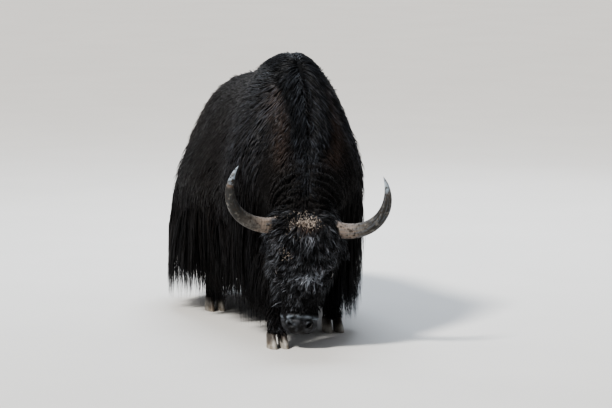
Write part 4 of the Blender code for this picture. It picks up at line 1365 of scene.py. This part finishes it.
def crest_coat(seed):
    """The feathery ridge from the hump down the middle of the neck to the poll."""

    def density(p, n):
        y = p[..., 1]
        width = 0.045 + 0.030 * ramp(-0.78, -0.62, y) + 0.010 * np.sin(14 * y)
        top = ramp(width, width * 0.6, np.abs(aside(p))) * ramp(0.1, 0.5, n[..., 2] - n[..., 1])
        return top * ramp(0.02, -0.18, y) * ramp(-0.90, -0.80, y)

    hair = Hair(BODY, ROOTS["crest"], seed, density)
    _, y, z = split(hair.roots)
    spread = np.clip(np.abs(aside(hair.roots)) / 0.07, 0, 1)
    front = ramp(WHORL_Y + 0.06, WHORL_Y - 0.04, y)
    low = ramp(-0.60, -0.74, y)
    sweep = side_of(hair.roots) * (0.75 - 0.25 * spread) * (1 - 0.65 * low)
    length = (0.070 + 0.045 * front - 0.060 * low) * hair.vary(0.70, 1.30)
    stand = (0.012 + 0.014 * front - 0.014 * low) * hair.vary(0.5, 1.5)
    ways = stacked(sweep, 0.8 - 1.5 * front, -0.15 - 0.75 * front)
    hair.grow(ways, length, stand, steps=4, droop=0.30, hug=0.7, lift=0.40)
    hair.gather(0.60, space=0.030)
    hair.curl(0.004, (0.5, 1.2))
    tone_and_painted_light = 0.35 + 1.9 * hair.shared(0, 1) ** 2 + hair.vary(-0.15, 0.3)
    # Painted shade on the top of the hump.
    tone_and_painted_light = tone_and_painted_light * (1 - 0.45 * ramp(1.22, 1.32, z))
    coat, width = Coat("coat_crest", NECK_HAIR), hair.vary(0.0045, 0.008)
    return coat.add(hair, width, thick=0.0030, warm=0.05, grey=1.6, tone_and_painted_light=tone_and_painted_light)


def throat_coat(seed):
    """Long hair under the neck and over the chest."""

    def density(p, n):
        x, y, z = split(p)
        low = ramp(0.80, 0.52, z + 0.03 * np.sin(17 * y + 9 * x))
        return low * ramp(-0.42, -0.56, y) * ramp(-0.93, -0.86, y)

    hair = Hair(BODY, ROOTS["throat"], seed, density, level=True)
    z = hair.roots[:, 2]
    high = ramp(0.56, 0.74, z)
    length = np.clip(z - THROAT_HEM, 0.12, 0.30) * (1 - 0.6 * high) * hair.vary(0.75, 1.15)
    ways = stacked(0.0, 0.2, -1.0) + hair.astray(0.14)
    stand = hair.vary(0.004, 0.026) * (1 - 0.7 * high)
    hair.grow(ways, length, stand, steps=4, droop=1.0, hug=0.0)
    hair.gather(0.5, space=0.040)
    hair.curl((0.002, 0.008), (0.6, 1.4))
    hair.hold(0.040)
    tone_and_painted_light = hair.shared(0.4, 0.9)
    coat, width = Coat("coat_throat", LONG_HAIR), hair.vary(0.006, 0.012)
    return coat.add(hair, width, thick=0.0036, warm=0.25, grey=0.3, tone_and_painted_light=tone_and_painted_light)


def eyes_clear(q, inner, outer):
    """Nothing round the eyes, in the head's frame."""
    right, left = (ramp(inner, outer, distance(q, mirrored(EYE_AT, side))) for side in (-1, 1))
    return right * left


def poll_dust(q, width):
    """How dusty with straw the hair of the poll is, at points in the head's frame."""
    return gauss(norm((q - POLL_DUST) / POLL_DUST_HALF), width)


def forelock_coat(seed):
    """Curly locks of the poll, the forehead and the temples, fanning out from a low whorl."""

    def density(p, n):
        q = moved(p, TO_HEAD)
        return ramp(0.13, 0.03, q[..., 1]) * ramp(-0.375, -0.30, q[..., 2]) * eyes_clear(q, 0.025, 0.036)

    hair = Hair(FACE, ROOTS["forelock"], seed, density)
    q = moved(hair.roots, TO_HEAD)
    x, _, z = split(q)
    down = np.clip(-z, 0, 0.36)
    fan_x, fan_z = x - FACE_WHORL[0], z - FACE_WHORL[1]
    from_whorl = np.hypot(fan_x, fan_z)
    turn = gauss(from_whorl, FACE_WHORL_WIDTH) * ramp(0.030, -0.012, fan_z)
    top = ramp(-0.07 + 0.045 * ramp(0.055, 0.095, np.abs(x)), -0.01, z)
    foot = gauss(distance(q, RIGHT_HORN_FOOT), 0.048)
    outwards = x * (5.0 + 5.0 * ramp(0.03, 0.09, np.abs(x))) * (1 - 0.6 * top)
    aside_way = outwards * (1 - turn) + turn * fan_x / (from_whorl + 0.01) * 1.5 - 0.8 * foot
    up_way = turn * fan_z / (from_whorl + 0.01) * 1.5 - (1 - turn) * (1 - 0.6 * foot)
    hair.lead(0.015)
    ways = turned(stacked(aside_way, 0.0, up_way), HEAD)
    ways = ways + hair.astray(0.20) + hair.astray(0.28)[hair.leaders]
    temple = ramp(-0.05, -0.11, x) * ramp(-0.03, -0.10, z)
    near_eye = 0.45 + 0.55 * eyes_clear(q, 0.035, 0.080)
    length = (0.066 - 0.085 * down + 0.020 * temple - 0.014 * top) * hair.vary(0.60, 1.30) + 0.030 * foot
    stand = (0.030 - 0.040 * down + 0.024 * temple) * hair.vary(0.25, 1.20) * hair.shared(0.7, 1.3)
    stand = (stand * (1 - 0.65 * top) + 0.046 * foot * hair.vary(0.6, 1.1)) * near_eye
    lift = 0.70 - 0.50 * top + 0.80 * foot
    hair.grow(ways, length * near_eye, stand, steps=4, droop=0.12, hug=0.5, lift=lift)
    hair.gather(0.55)
    hair.curl((0.003, 0.007), (0.3, 0.9), apart=0.8, together=True)
    # Painted highlight and sheen on the fan of the whorl, painted light on the right temple and the left
    # brow, and painted shade in two gaps between the locks; random tone in tufts and patches, darker at the
    # top of the poll, and paler dust.
    fan = gauss(np.hypot(fan_x, fan_z + 0.004), 0.038)
    dusty = poll_dust(q, 1.1)
    grey = (1.0 + 3.0 * hair.shared(0, 1) + 3.0 * fan) * (1 - dusty)
    patches = 0.5 + 0.5 * np.sin(43 * x + 21 * z) * np.sin(37 * z - 18 * x + 1)
    tone_and_painted_light = 7.6 * hair.shared(0, 1) ** 3 + 4.0 * hair.vary(0, 1) ** 4
    tone_and_painted_light = (0.10 + tone_and_painted_light * (0.45 + 0.85 * patches)) * (1 - 0.5 * top) * (1 + 0.5 * temple)
    tone_and_painted_light = tone_and_painted_light + 8.0 * fan * hair.vary(0.2, 1.8) + 3.5 * dusty
    tone_and_painted_light = tone_and_painted_light + 1.8 * gauss(np.hypot(x - 0.09, z + 0.20), 0.045) * hair.vary(0.3, 1.7)
    gaps = np.maximum(gauss(np.hypot(x, z + 0.140), 0.030), gauss(np.hypot(x + 0.020, z + 0.215), 0.024))
    tone_and_painted_light = tone_and_painted_light * (1 - 0.6 * gaps)
    coat, width = Coat("coat_forelock", HEAD_HAIR), hair.vary(0.0032, 0.0058)
    return coat.add(hair, width, thick=0.0024, warm=0.15 + dusty, grey=grey, tone_and_painted_light=tone_and_painted_light)


def cheek_coat(seed):
    """Shaggy hair of the cheeks and the jaw."""

    def density(p, n):
        q = moved(p, TO_HEAD)
        return ramp(0.02, 0.10, q[..., 1]) * ramp(-0.50, -0.36, q[..., 2]) * eyes_clear(q, 0.030, 0.042)

    hair = Hair(FACE, ROOTS["cheeks"], seed, density)
    q = moved(hair.roots, TO_HEAD)
    x, _, z = split(q)
    low = ramp(-0.30, -0.48, z)
    outer = ramp(-0.04, -0.09, x)
    near_eye = 0.45 + 0.55 * eyes_clear(q, 0.040, 0.085)
    length = (0.090 - 0.062 * low) * hair.vary(0.75, 1.25) * near_eye
    stand = (0.042 - 0.026 * low + 0.026 * outer) * hair.vary(0.5, 1.2) * near_eye
    ways = turned(stacked(x * 2.0, 0.35, -1.0), HEAD) + hair.astray(0.18)
    hair.grow(ways, length, stand, steps=4, droop=0.35, hug=0.5, lift=0.45)
    hair.gather(0.5, space=0.018)
    hair.curl((0.002, 0.006), (0.3, 0.9))
    # Painted light and sheen on the outer right cheek, with random tone in tufts.
    grey = 1.0 + 2.4 * hair.shared(0, 1) ** 2 + 2.0 * outer
    tone_and_painted_light = 0.12 + 5.0 * hair.shared(0, 1) ** 3 + 1.6 * outer
    coat, width = Coat("coat_cheeks", HEAD_HAIR), hair.vary(0.0035, 0.006)
    return coat.add(hair, width, thick=0.0024, warm=0.12, grey=grey, tone_and_painted_light=tone_and_painted_light)


def face_coat(seed):
    """Small tufts of the nose, the lips and round the eyes, and short hairs on the lids."""

    def density(p, n):
        q = moved(p, TO_HEAD)
        _, y, z = split(q)
        ahead = ramp(0.10, 0.03, y)
        nose = ahead * ramp(-0.25, -0.32, z) * ramp(-0.450, -0.438, muzzle_level(q))
        lips = (1 - ahead) * ramp(-0.36, -0.44, z) * ramp(-0.552, -0.530, z)
        near_eyes = 1.6 * (1 - eyes_clear(q, 0.040, 0.058)) * eyes_clear(q, 0.0265, 0.029)
        return np.maximum(nose + 0.8 * lips, near_eyes)

    hair = Hair(FACE, ROOTS["face"], seed, density)
    q = moved(hair.roots, TO_HEAD)
    x, _, z = split(q)
    ways = stacked(x * 3.0, 0.15, -1.0)
    for side in (-1, 1):
        from_eye = q - np.array(mirrored(EYE_AT, side))
        near = gauss(norm(from_eye), 0.050)
        ways = ways + 1.6 * near[:, None] * unit(from_eye)
    fine = ramp(-0.34, -0.46, z)
    length = (0.036 - 0.022 * fine) * hair.vary(0.7, 1.2)
    hair.grow(turned(ways, HEAD), length, 0.009 - 0.006 * fine, lift=0.35)
    hair.gather(0.5, space=0.012)
    width = (0.0045 - 0.002 * fine) * hair.vary(0.8, 1.2)
    # Painted light and sheen on the bridge of the nose, stronger low down, with random tone in tufts.
    bridge = gauss(x + 0.020, 0.042)
    grey = 0.5 + (1.0 + 3.0 * bridge) * hair.shared(0, 1)
    lit = (2.2 + 5.0 * bridge) * (0.40 + 1.1 * ramp(-0.33, -0.40, z))
    tone_and_painted_light = 0.10 + lit * hair.shared(0, 1) ** 3
    coat = Coat("coat_face", HEAD_HAIR)
    coat.add(hair, width, thick=0.0014, warm=0.12, grey=grey, tone_and_painted_light=tone_and_painted_light, chart=(0, 0, 1, 0.86))
    for k, side in enumerate((-1, 1)):
        hair = Hair(Tube(lids(side)[1:8]), ROOTS["lids"], seed + 5 + k, everywhere)
        look = unit(turned(np.array(mirrored(EYE_LOOK, side)), HEAD))
        away = hair.roots - np.array(HEAD @ mirrored(EYE_AT, side))
        away = unit(away - dot(away, look)[:, None] * look) + 0.5 * DOWN + hair.astray(0.2)
        hair.grow(away, hair.vary(0.007, 0.013), 0.002, lift=0.15)
        width = hair.vary(0.0022, 0.0034)
        coat.add(hair, width, thick=0.0010, warm=0.12, grey=1.5, tone_and_painted_light=1.2, chart=column(k, 2, 0.87))
    return coat


def ear_coat(seed):
    """Tufts along the ears."""
    coat = Coat("coat_ears", HEAD_HAIR)
    for k, (side, tube) in enumerate(EARS.items()):
        hair = Hair(tube, ROOTS["ear"], seed + k, everywhere)
        way = np.array(HEAD.to_3x3() @ (mirrored(EAR_TIP, side) - mirrored(EAR_ROOT, side)))
        hair.grow(way, hair.vary(0.016, 0.034), 0.006, hug=0.6, lift=0.3)
        hair.gather(0.5, space=0.014)
        tone_and_painted_light = hair.vary(0.8, 3.0)
        width = hair.vary(0.003, 0.005)
        coat.add(hair, width, thick=0.0016, warm=0.2, grey=2.5, tone_and_painted_light=tone_and_painted_light, chart=column(k, 2))
    return coat


def leg_coat(seed):
    """Short hair down the legs, standing further out near the hooves, and longer there on the hind legs."""
    coat = Coat("coat_legs", LONG_HAIR)
    for k, tube in enumerate(LEGS.values()):
        hair = Hair(tube, ROOTS["leg"], seed + k, lambda p, n: ramp(0.50, 0.40, p[..., 2]))
        _, y, z = split(hair.roots)
        low = ramp(0.20, 0.07, z)
        length = 0.038 * hair.vary(0.8, 1.2) * (1 + 0.7 * low * ramp(0.0, 0.2, y))
        hair.grow(DOWN, length, 0.006 + 0.008 * low, lift=0.2)
        hair.gather(0.45, space=0.022)
        width = hair.vary(0.004, 0.007)
        coat.add(hair, width, thick=0.002, warm=0.3, grey=0.2 + 1.6 * low, chart=column(k, 4))
    return coat


def feather_coat(seed):
    """Longer hair that hangs from the back and the sides of each leg, longest on the forearms."""
    coat = Coat("coat_feather", LONG_HAIR)
    for k, (leg, tube) in enumerate(LEGS.items()):
        fore = leg.startswith("front")
        count = ROOTS["fore_feather" if fore else "hind_feather"]
        longest, ahead = (0.24, -1.6) if fore else (0.16, -0.5)

        def density(p, n):
            return ramp(0.13, 0.20, p[..., 2]) * ramp(0.60, 0.52, p[..., 2]) * ramp(ahead, 0.6, n[..., 1])

        hair = Hair(tube, count, seed + k, density)
        length = np.clip(0.62 * (hair.roots[:, 2] - 0.06), 0.04, longest) * hair.vary(0.8, 1.15)
        hair.grow(DOWN, length, hair.vary(0.004, 0.022), steps=4, droop=0.9, hug=0.0, lift=0.30)
        hair.gather(0.65, space=0.03)
        hair.curl((0.002, 0.006), (0.6, 1.4))
        width = hair.vary(0.0035, 0.007)
        coat.add(hair, width, thick=0.0026, warm=0.15, grey=0.5, chart=column(k, 4))
    return coat


def tail_coat(seed):
    """The long hair of the tail, thickest in its lower half."""
    hair = Hair(TAIL, ROOTS["tail"], seed, lambda p, n: 0.5 + ramp(1.0, 0.6, p[..., 2]))
    z = hair.roots[:, 2]
    low = ramp(1.02, 0.60, z)
    length = np.clip(z - (0.55 - 0.32 * low), 0.09, 0.36) * hair.vary(0.8, 1.1)
    stand = (0.006 + 0.036 * low) * hair.vary(0.3, 1.2)
    hair.grow(DOWN, length, stand, steps=5, droop=1.0, hug=0.0, lift=0.15)
    hair.gather(0.6, space=0.05)
    hair.curl((0.002, 0.009), (0.7, 1.5))
    width = hair.vary(0.007, 0.013)
    return Coat("coat_tail", LONG_HAIR).add(hair, width, thick=0.004, warm=0.4, grey=0.2)


def straw_bits(seed):
    """Bits of dry straw caught in the hair of the poll and the right brow."""

    def density(p, n):
        q = moved(p, TO_HEAD)
        brow = gauss(distance(q, BROW_DUST), 0.030)
        return poll_dust(q, 0.80) + 0.40 * brow + 0.22 * gauss(distance(q, ROOT_DUST), 0.034)

    hair = Hair(FACE, ROOTS["straw"], seed, density)
    ways = stacked(hair.vary(-1, 1), hair.vary(-0.3, 0.3), hair.vary(-1, 1))
    hair.grow(ways, hair.vary(0.005, 0.016), 0.004, lift=0.3)
    hair.strands += (hair.normals * hair.vary(0.012, 0.034)[:, None])[:, None, :]
    return Coat("straw_bits", straw_finish()).add(hair, hair.vary(0.0010, 0.0026), thick=0.0010)


def keep(obj, slot, *nodes):
    """A finished piece: moved to where the solids stand, riding with them, in place of its nodes."""
    obj.data.transform(Matrix.Translation(SHIFT))
    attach(obj, "root")
    if nodes:
        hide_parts(*nodes)


def corners_of(mesh):
    table = np.empty(len(mesh.vertices) * 3)
    mesh.vertices.foreach_get("co", table)
    return table.reshape(-1, 3)


def finish_skin():
    """The skin's material, with the muzzle bare below its fold and a painted highlight on the rim of the
    fold and above the nostrils.
    """
    mesh = SKIN_OBJECT.data
    q = moved(corners_of(mesh), TO_HEAD)
    x, y, z = split(q)
    on_head = (np.abs(x) < 0.14) & (y < 0.18) & (z < 0.0)
    level = muzzle_level(q)
    ahead = ramp(0.075, 0.03, y)
    bare = ramp(-0.446, -0.458, level) * np.maximum(ahead, ramp(-0.53, -0.545, z))
    # The rim mask marks where the highlight is painted: along the fold and above each nostril.
    rim = gauss(level + MUZZLE_FOLD, 0.008)
    for side in (-1, 1):
        near, close = nostril_reach(q, side)
        rim = np.maximum(rim, 0.55 * gauss(near - 1.60, 0.40) * close * ramp(-0.515, -0.495, z))
    set_field(mesh, "bare", bare * on_head)
    set_field(mesh, "rim", rim * ahead * on_head)
    mesh.materials.clear()
    mesh.materials.append(skin_finish())
    legs = ["leg_" + name for name in LEGS]
    keep(SKIN_OBJECT, "coat", "torso", "neck", "head", "ear_left", "ear_right", "tail", *legs)


# A horn in the head's frame, for the left side: out from the skull, then forward and up to its tip.
HORN_ROUTE = [
    (0.085, 0.030, -0.035),
    (0.160, 0.020, -0.078),
    (0.288, -0.020, -0.062),
    (0.374, -0.075, 0.030),
    (0.368, -0.060, 0.160),
    (0.318, -0.030, 0.235),
]
HORN_SPREAD = {"horn_right": 1.08, "horn_left": 1.0}
# How far each horn's dark middle shows paler streaks.
HORN_PALE = {"horn_right": 0.25, "horn_left": 0.85}
HORN_BASE_RADIUS = 0.037
HORN_TIP_RADIUS = 0.003
HORN_ROWS = 180
HORN_SIDES = 48
# The rings of a horn's growth: from where to where along it, and how deep and how long.
RINGS_FROM = 0.10
RINGS_TO = 0.62
RING_DEPTH = 0.0016
RING_HALF = 0.006
# The worn notch of the right horn: how far along it is, and how long and deep.
NOTCH_AT = 0.80
NOTCH_HALF = 0.012
NOTCH_DEPTH = 0.004


def horn_piece(name, side, seed, finish):
    """A horn with the rings of its growth near the root, and a smooth tip."""
    draw = np.random.default_rng(seed)
    wide = side * HORN_SPREAD[name]
    route = bezier([HEAD @ Vector((wide * x, y, z)) for x, y, z in HORN_ROUTE], HORN_ROWS)
    t = np.linspace(0, 1, HORN_ROWS)
    ridge = np.zeros(HORN_ROWS)
    place = RINGS_FROM
    while place < RINGS_TO:
        ridge += gauss(t - place, RING_HALF) * (1 - place) * draw.uniform(0.5, 1.2)
        place += draw.uniform(0.018, 0.034)
    radii = HORN_BASE_RADIUS * (1 - 0.5 * t) * (1 - t**5) + HORN_TIP_RADIUS * (1 - t**12)
    tube = round_tube(route, np.maximum(radii - RING_DEPTH * ridge, 0.0006), HORN_SIDES)
    t, angle = t[:, None], circle(HORN_SIDES)[None, :]
    push = (0.0005 * np.sin(11 * angle + 9 * t) + 0.0004 * np.sin(23 * angle + 5)) * (1 - t)
    worn = np.zeros(push.shape)
    if name == "horn_right":
        slant = 0.012 * np.sin(angle + 1.0) + 0.006 * np.sin(3 * angle)
        worn = gauss(t - NOTCH_AT - slant, NOTCH_HALF) * (0.65 + 0.35 * np.cos(angle - 2.2))
    tube.push(push - NOTCH_DEPTH * worn)
    obj = new_object(name + "_surface", tube.mesh(name), finish)
    fields = {
        "along": t,
        "ridge": np.clip(0.5 * ridge, 0, 1)[:, None],
        "joint": np.clip(0.9 * worn, 0, 1),
        "turn_x": np.cos(angle),
        "turn_y": np.sin(angle),
        "pale": HORN_PALE[name],
    }
    for field, values in fields.items():
        values = np.broadcast_to(values, (HORN_ROWS, HORN_SIDES)).ravel()
        set_field(obj.data, field, np.append(values, [values[0], values[-1]]))
    keep(obj, "horn", name)


CLAW_HALF = 0.024
CLAW_LENGTH = 0.115
CLEFT = 0.007
CLAW_SIDES = 44
CLAW_ROUNDNESS = 2.2
# A claw from the sole up: the height, the shares of its length and half width, and the way back.
CLAW_ROWS = [
    (0.0000, 0.985, 0.97, 0.000),
    (0.0015, 1.000, 1.00, 0.000),
    (0.0120, 0.980, 0.99, 0.001),
    (0.0280, 0.940, 0.96, 0.004),
    (0.0450, 0.860, 0.90, 0.008),
    (0.0580, 0.790, 0.85, 0.011),
    (0.0660, 0.680, 0.74, 0.012),
    (0.0690, 0.450, 0.50, 0.012),
]


def claws(name, way, finish):
    """Two claws with the rings of their growth, their toes bent a little towards each other."""
    sole, crown = way_at(way, 0), way_at(way, HOOF_HEIGHT)
    across = signed_power(np.cos(circle(CLAW_SIDES)), 2 / CLAW_ROUNDNESS)
    along = signed_power(np.sin(circle(CLAW_SIDES)), 2 / CLAW_ROUNDNESS)
    toe = 1 - 0.18 * ramp(0.2, -1.0, along)
    for side, word in ((-1, "_right_claw"), (1, "_left_claw")):
        inner = 1 - (across * side < 0) * 0.14 * np.abs(across)
        rings = []
        for height, length, half, back in smooth_rows(CLAW_ROWS, 5):
            share = height / HOOF_HEIGHT
            middle = side * (CLAW_HALF + CLEFT / 2) * (1 - 0.08 * share)
            centre = sole.lerp(crown, share) + Vector((middle, back, 0))
            groove = 1 - 0.012 * (math.sin(height * 900) > 0.6)
            x = CLAW_HALF * half * groove * across * toe * inner
            y = CLAW_LENGTH / 2 * length * groove * along
            rings.append(stacked(centre.x + x, centre.y + y, max(centre.z, 0.0)))
        node = name + word
        obj = new_object(node + "_surface", Tube(rings).mesh(node), finish)
        set_field(obj.data, "crown", corners_of(obj.data)[:, 2] / HOOF_HEIGHT)
        keep(obj, "hoof", node)


PUPIL_HALF = (0.36, 0.20)


def eyeball(name, side, finish):
    """A wet eyeball whose level pupil and iris look the way that the lids open."""
    mesh = ball_mesh(name, (0, 0, 0), EYE_RADIUS, 64)
    look = np.array(mirrored(EYE_LOOK, side).normalized())
    level = unit(np.cross(look, np.array(HEAD.to_3x3().inverted() @ Vector(UP))))
    ways = unit(corners_of(mesh))
    ahead, along, across = dot(ways, look), dot(ways, level), dot(ways, np.cross(look, level))
    set_field(mesh, "white", ramp(0.74, 0.84, np.hypot(along, across)) + (ahead < 0))
    pupil = np.hypot(along / PUPIL_HALF[0], across / PUPIL_HALF[1])
    set_field(mesh, "pupil", ramp(1.1, 0.9, pupil) * (ahead > 0))
    mesh.transform(HEAD @ Matrix.Translation(mirrored(EYE_AT, side)))
    keep(new_object(name + "_ball", mesh, finish), "eye", name)


# The camera, in degrees: where the photo looks from, and its framing as pixels of a picture 612 wide.
CAMERA_AZIMUTH = -15
CAMERA_ELEVATION = 4.5
CAMERA_DISTANCE = 17.0
CAMERA_TARGET = Vector((0, -0.3, WITHERS_HEIGHT))
TARGET_PIXEL = (293, 50)
PICTURE = (612, 408)
METRES_PER_PIXEL = 0.00475
SENSOR = 36.0
# The lights: a low, warm sun, and two cool square lights of the studio.
SUN_POWER = 4.4
SUN_SIZE = math.radians(9)
SUN_COLOUR = (1.0, 0.965, 0.91)
SUN_FROM = (-60, 46)
LIGHTS = {
    "top": ((165, 62), 420, (0.80, 0.89, 1.0)),
    "fill": ((140, 20), 40, (0.84, 0.90, 1.0)),
}
LIGHT_DISTANCE = 6.5
LIGHT_SIZE = 4.0
LIGHTS_LOOK_AT = Vector((0, 0, 0.8))
WORLD_COLOUR = (0.86, 0.88, 0.92, 1)
WORLD_POWER = 0.37
FLOOR_SIZE = 160


def direction(azimuth, elevation):
    """The way from the yak to an azimuth and an elevation, given in degrees."""
    a, e = math.radians(azimuth), math.radians(elevation)
    return Vector((math.sin(a) * math.cos(e), -math.cos(a) * math.cos(e), math.sin(e)))


def facing_back(away):
    return away.to_track_quat("Z", "Y").to_euler()


def camera():
    back = direction(CAMERA_AZIMUTH, CAMERA_ELEVATION)
    right = direction(CAMERA_AZIMUTH + 90, 0)
    eye = CAMERA_TARGET + back * CAMERA_DISTANCE
    off_x = (PICTURE[0] / 2 - TARGET_PIXEL[0]) * METRES_PER_PIXEL
    off_y = (PICTURE[1] / 2 - TARGET_PIXEL[1]) * METRES_PER_PIXEL
    aim = CAMERA_TARGET + right * off_x - back.cross(right) * off_y
    data = bpy.data.cameras.new("camera")
    data.sensor_width = SENSOR
    data.lens = SENSOR * CAMERA_DISTANCE / METRES_PER_PIXEL / PICTURE[0]
    data.clip_end = 200
    obj = linked("camera", data)
    obj.location = eye + SHIFT
    obj.rotation_euler = facing_back(eye - aim)
    bpy.context.scene.camera = obj


def light(name, kind, power, colour, way):
    data = bpy.data.lights.new(name, kind)
    data.energy = power
    data.color = colour
    obj = linked(name, data)
    obj.location = LIGHTS_LOOK_AT + direction(*way) * LIGHT_DISTANCE
    obj.rotation_euler = facing_back(direction(*way))
    return data


def studio():
    """The sun, the studio's lights and its world, and a plain pale floor."""
    light("key", "SUN", SUN_POWER, SUN_COLOUR, SUN_FROM).angle = SUN_SIZE
    for name, (way, power, colour) in LIGHTS.items():
        light(name, "AREA", power, colour, way).size = LIGHT_SIZE
    world = bpy.data.worlds.new("studio")
    world.use_nodes = True
    back = world.node_tree.nodes["Background"]
    back.inputs["Color"].default_value = WORLD_COLOUR
    back.inputs["Strength"].default_value = WORLD_POWER
    bpy.context.scene.world = world
    bpy.context.scene.view_settings.look = "AgX - Medium High Contrast"
    bpy.ops.mesh.primitive_plane_add(size=FLOOR_SIZE)
    floor = bpy.context.object
    floor.name = "floor"
    floor.data.materials.append(floor_finish())


camera()
studio()
COATS = [
    back_coat("coat_back_right", -1, 11),
    back_coat("coat_back_left", 1, 12),
    skirt_coat("coat_skirt_right", -1, 21),
    skirt_coat("coat_skirt_left", 1, 22),
    neck_coat(31),
    crest_coat(32),
    throat_coat(33),
    forelock_coat(41),
    cheek_coat(42),
    face_coat(43),
    ear_coat(44),
    leg_coat(51),
    feather_coat(61),
    tail_coat(71),
    straw_bits(81),
]
finish_skin()
for coat in COATS:
    keep(coat.build(), "coat")
HORN, HOOF, EYE = horn_finish(), hoof_finish(), eye_finish()
horn_piece("horn_right", -1, 91, HORN)
horn_piece("horn_left", 1, 92, HORN)
for leg, way in LEG_WAYS.items():
    claws("hoof_" + leg, way, HOOF)
eyeball("eye_right", -1, EYE)
eyeball("eye_left", 1, EYE)
